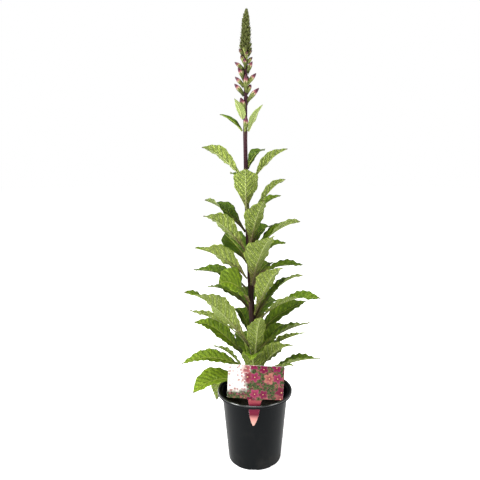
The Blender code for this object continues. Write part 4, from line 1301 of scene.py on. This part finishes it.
def studio_world():
    """A white room that lights the plant softly, and looks plain white."""
    world = bpy.data.worlds.new("studio")
    world.use_nodes = True
    nodes, links = world.node_tree.nodes, world.node_tree.links
    room = nodes["Background"]
    room.inputs["Color"].default_value = (1, 1, 1, 1)
    room.inputs["Strength"].default_value = ROOM_LIGHT
    seen = nodes.new("ShaderNodeBackground")
    mix = nodes.new("ShaderNodeMixShader")
    path = nodes.new("ShaderNodeLightPath")
    seen.inputs["Color"].default_value = (1, 1, 1, 1)
    links.new(path.outputs["Is Camera Ray"], mix.inputs[0])
    links.new(room.outputs[0], mix.inputs[1])
    links.new(seen.outputs[0], mix.inputs[2])
    links.new(mix.outputs[0], nodes["World Output"].inputs["Surface"])
    return world


def add_light(name, place, target, size, power):
    """A soft square light, turned to its target."""
    light = bpy.data.lights.new(name, "AREA")
    light.size = size
    light.energy = power
    lamp = bpy.data.objects.new(name, light)
    lamp.location = place
    aim = np.subtract(target, place)
    lamp.rotation_euler = (atan2(np.hypot(aim[0], aim[1]), -aim[2]), 0, atan2(-aim[0], aim[1]))
    bpy.context.scene.collection.objects.link(lamp)


class FOXGLOVE_OT_stage(bpy.types.Operator):
    """Set up the floor, the soft lights and the camera"""
    bl_idname = "foxglove.stage"
    bl_label = "Stage"

    def execute(self, context):
        scene = context.scene
        look = scene.foxglove_stage
        bpy.ops.mesh.primitive_circle_add(vertices=64, radius=FLOOR_RADIUS, fill_type="NGON",
                                          location=(0, 0, -FLOOR_DROP))
        floor = context.object
        floor.name = "floor"
        floor.data.materials.append(floor_finish(look.floor))

        camera = bpy.data.objects.new("camera", bpy.data.cameras.new("camera"))
        camera.location = (0, -look.distance, look.height)
        camera.rotation_euler = (pi / 2 - look.tilt, 0, 0)
        camera.data.lens = look.lens
        camera.data.shift_x = look.shift
        camera.data.clip_start = 0.02
        scene.collection.objects.link(camera)
        scene.camera = camera

        scene.world = studio_world()
        scene.view_settings.view_transform = "Standard"
        for light in LIGHTS:
            add_light(*light)
        return {"FINISHED"}


# ------------------------------------------------------------------ add-on
OPERATORS = (FOXGLOVE_OT_stage, FOXGLOVE_OT_pot, FOXGLOVE_OT_soil, FOXGLOVE_OT_label, FOXGLOVE_OT_stem,
             FOXGLOVE_OT_buds, FOXGLOVE_OT_bracts, FOXGLOVE_OT_leaves)


class FOXGLOVE_PT_panel(bpy.types.Panel):
    """Lists the foxglove's pieces"""
    bl_label = "Foxglove"
    bl_space_type = "VIEW_3D"
    bl_region_type = "UI"
    bl_category = "Foxglove"

    def draw(self, context):
        for operator in OPERATORS:
            self.layout.operator(operator.bl_idname)
        for name, group in SETTINGS.items():
            settings = getattr(context.scene, name)
            box = self.layout.box()
            for key in group.__annotations__:
                box.prop(settings, key)


CLASSES = (*SETTINGS.values(), *OPERATORS, FOXGLOVE_PT_panel)


def register():
    for one in CLASSES:
        bpy.utils.register_class(one)
    for name, group in SETTINGS.items():
        setattr(bpy.types.Scene, name, PointerProperty(type=group))


def unregister():
    for name in SETTINGS:
        delattr(bpy.types.Scene, name)
    for one in reversed(CLASSES):
        bpy.utils.unregister_class(one)


def main():
    register()
    for operator in OPERATORS:
        group, name = operator.bl_idname.split(".")
        getattr(getattr(bpy.ops, group), name)()


if __name__ == "__main__":
    main()
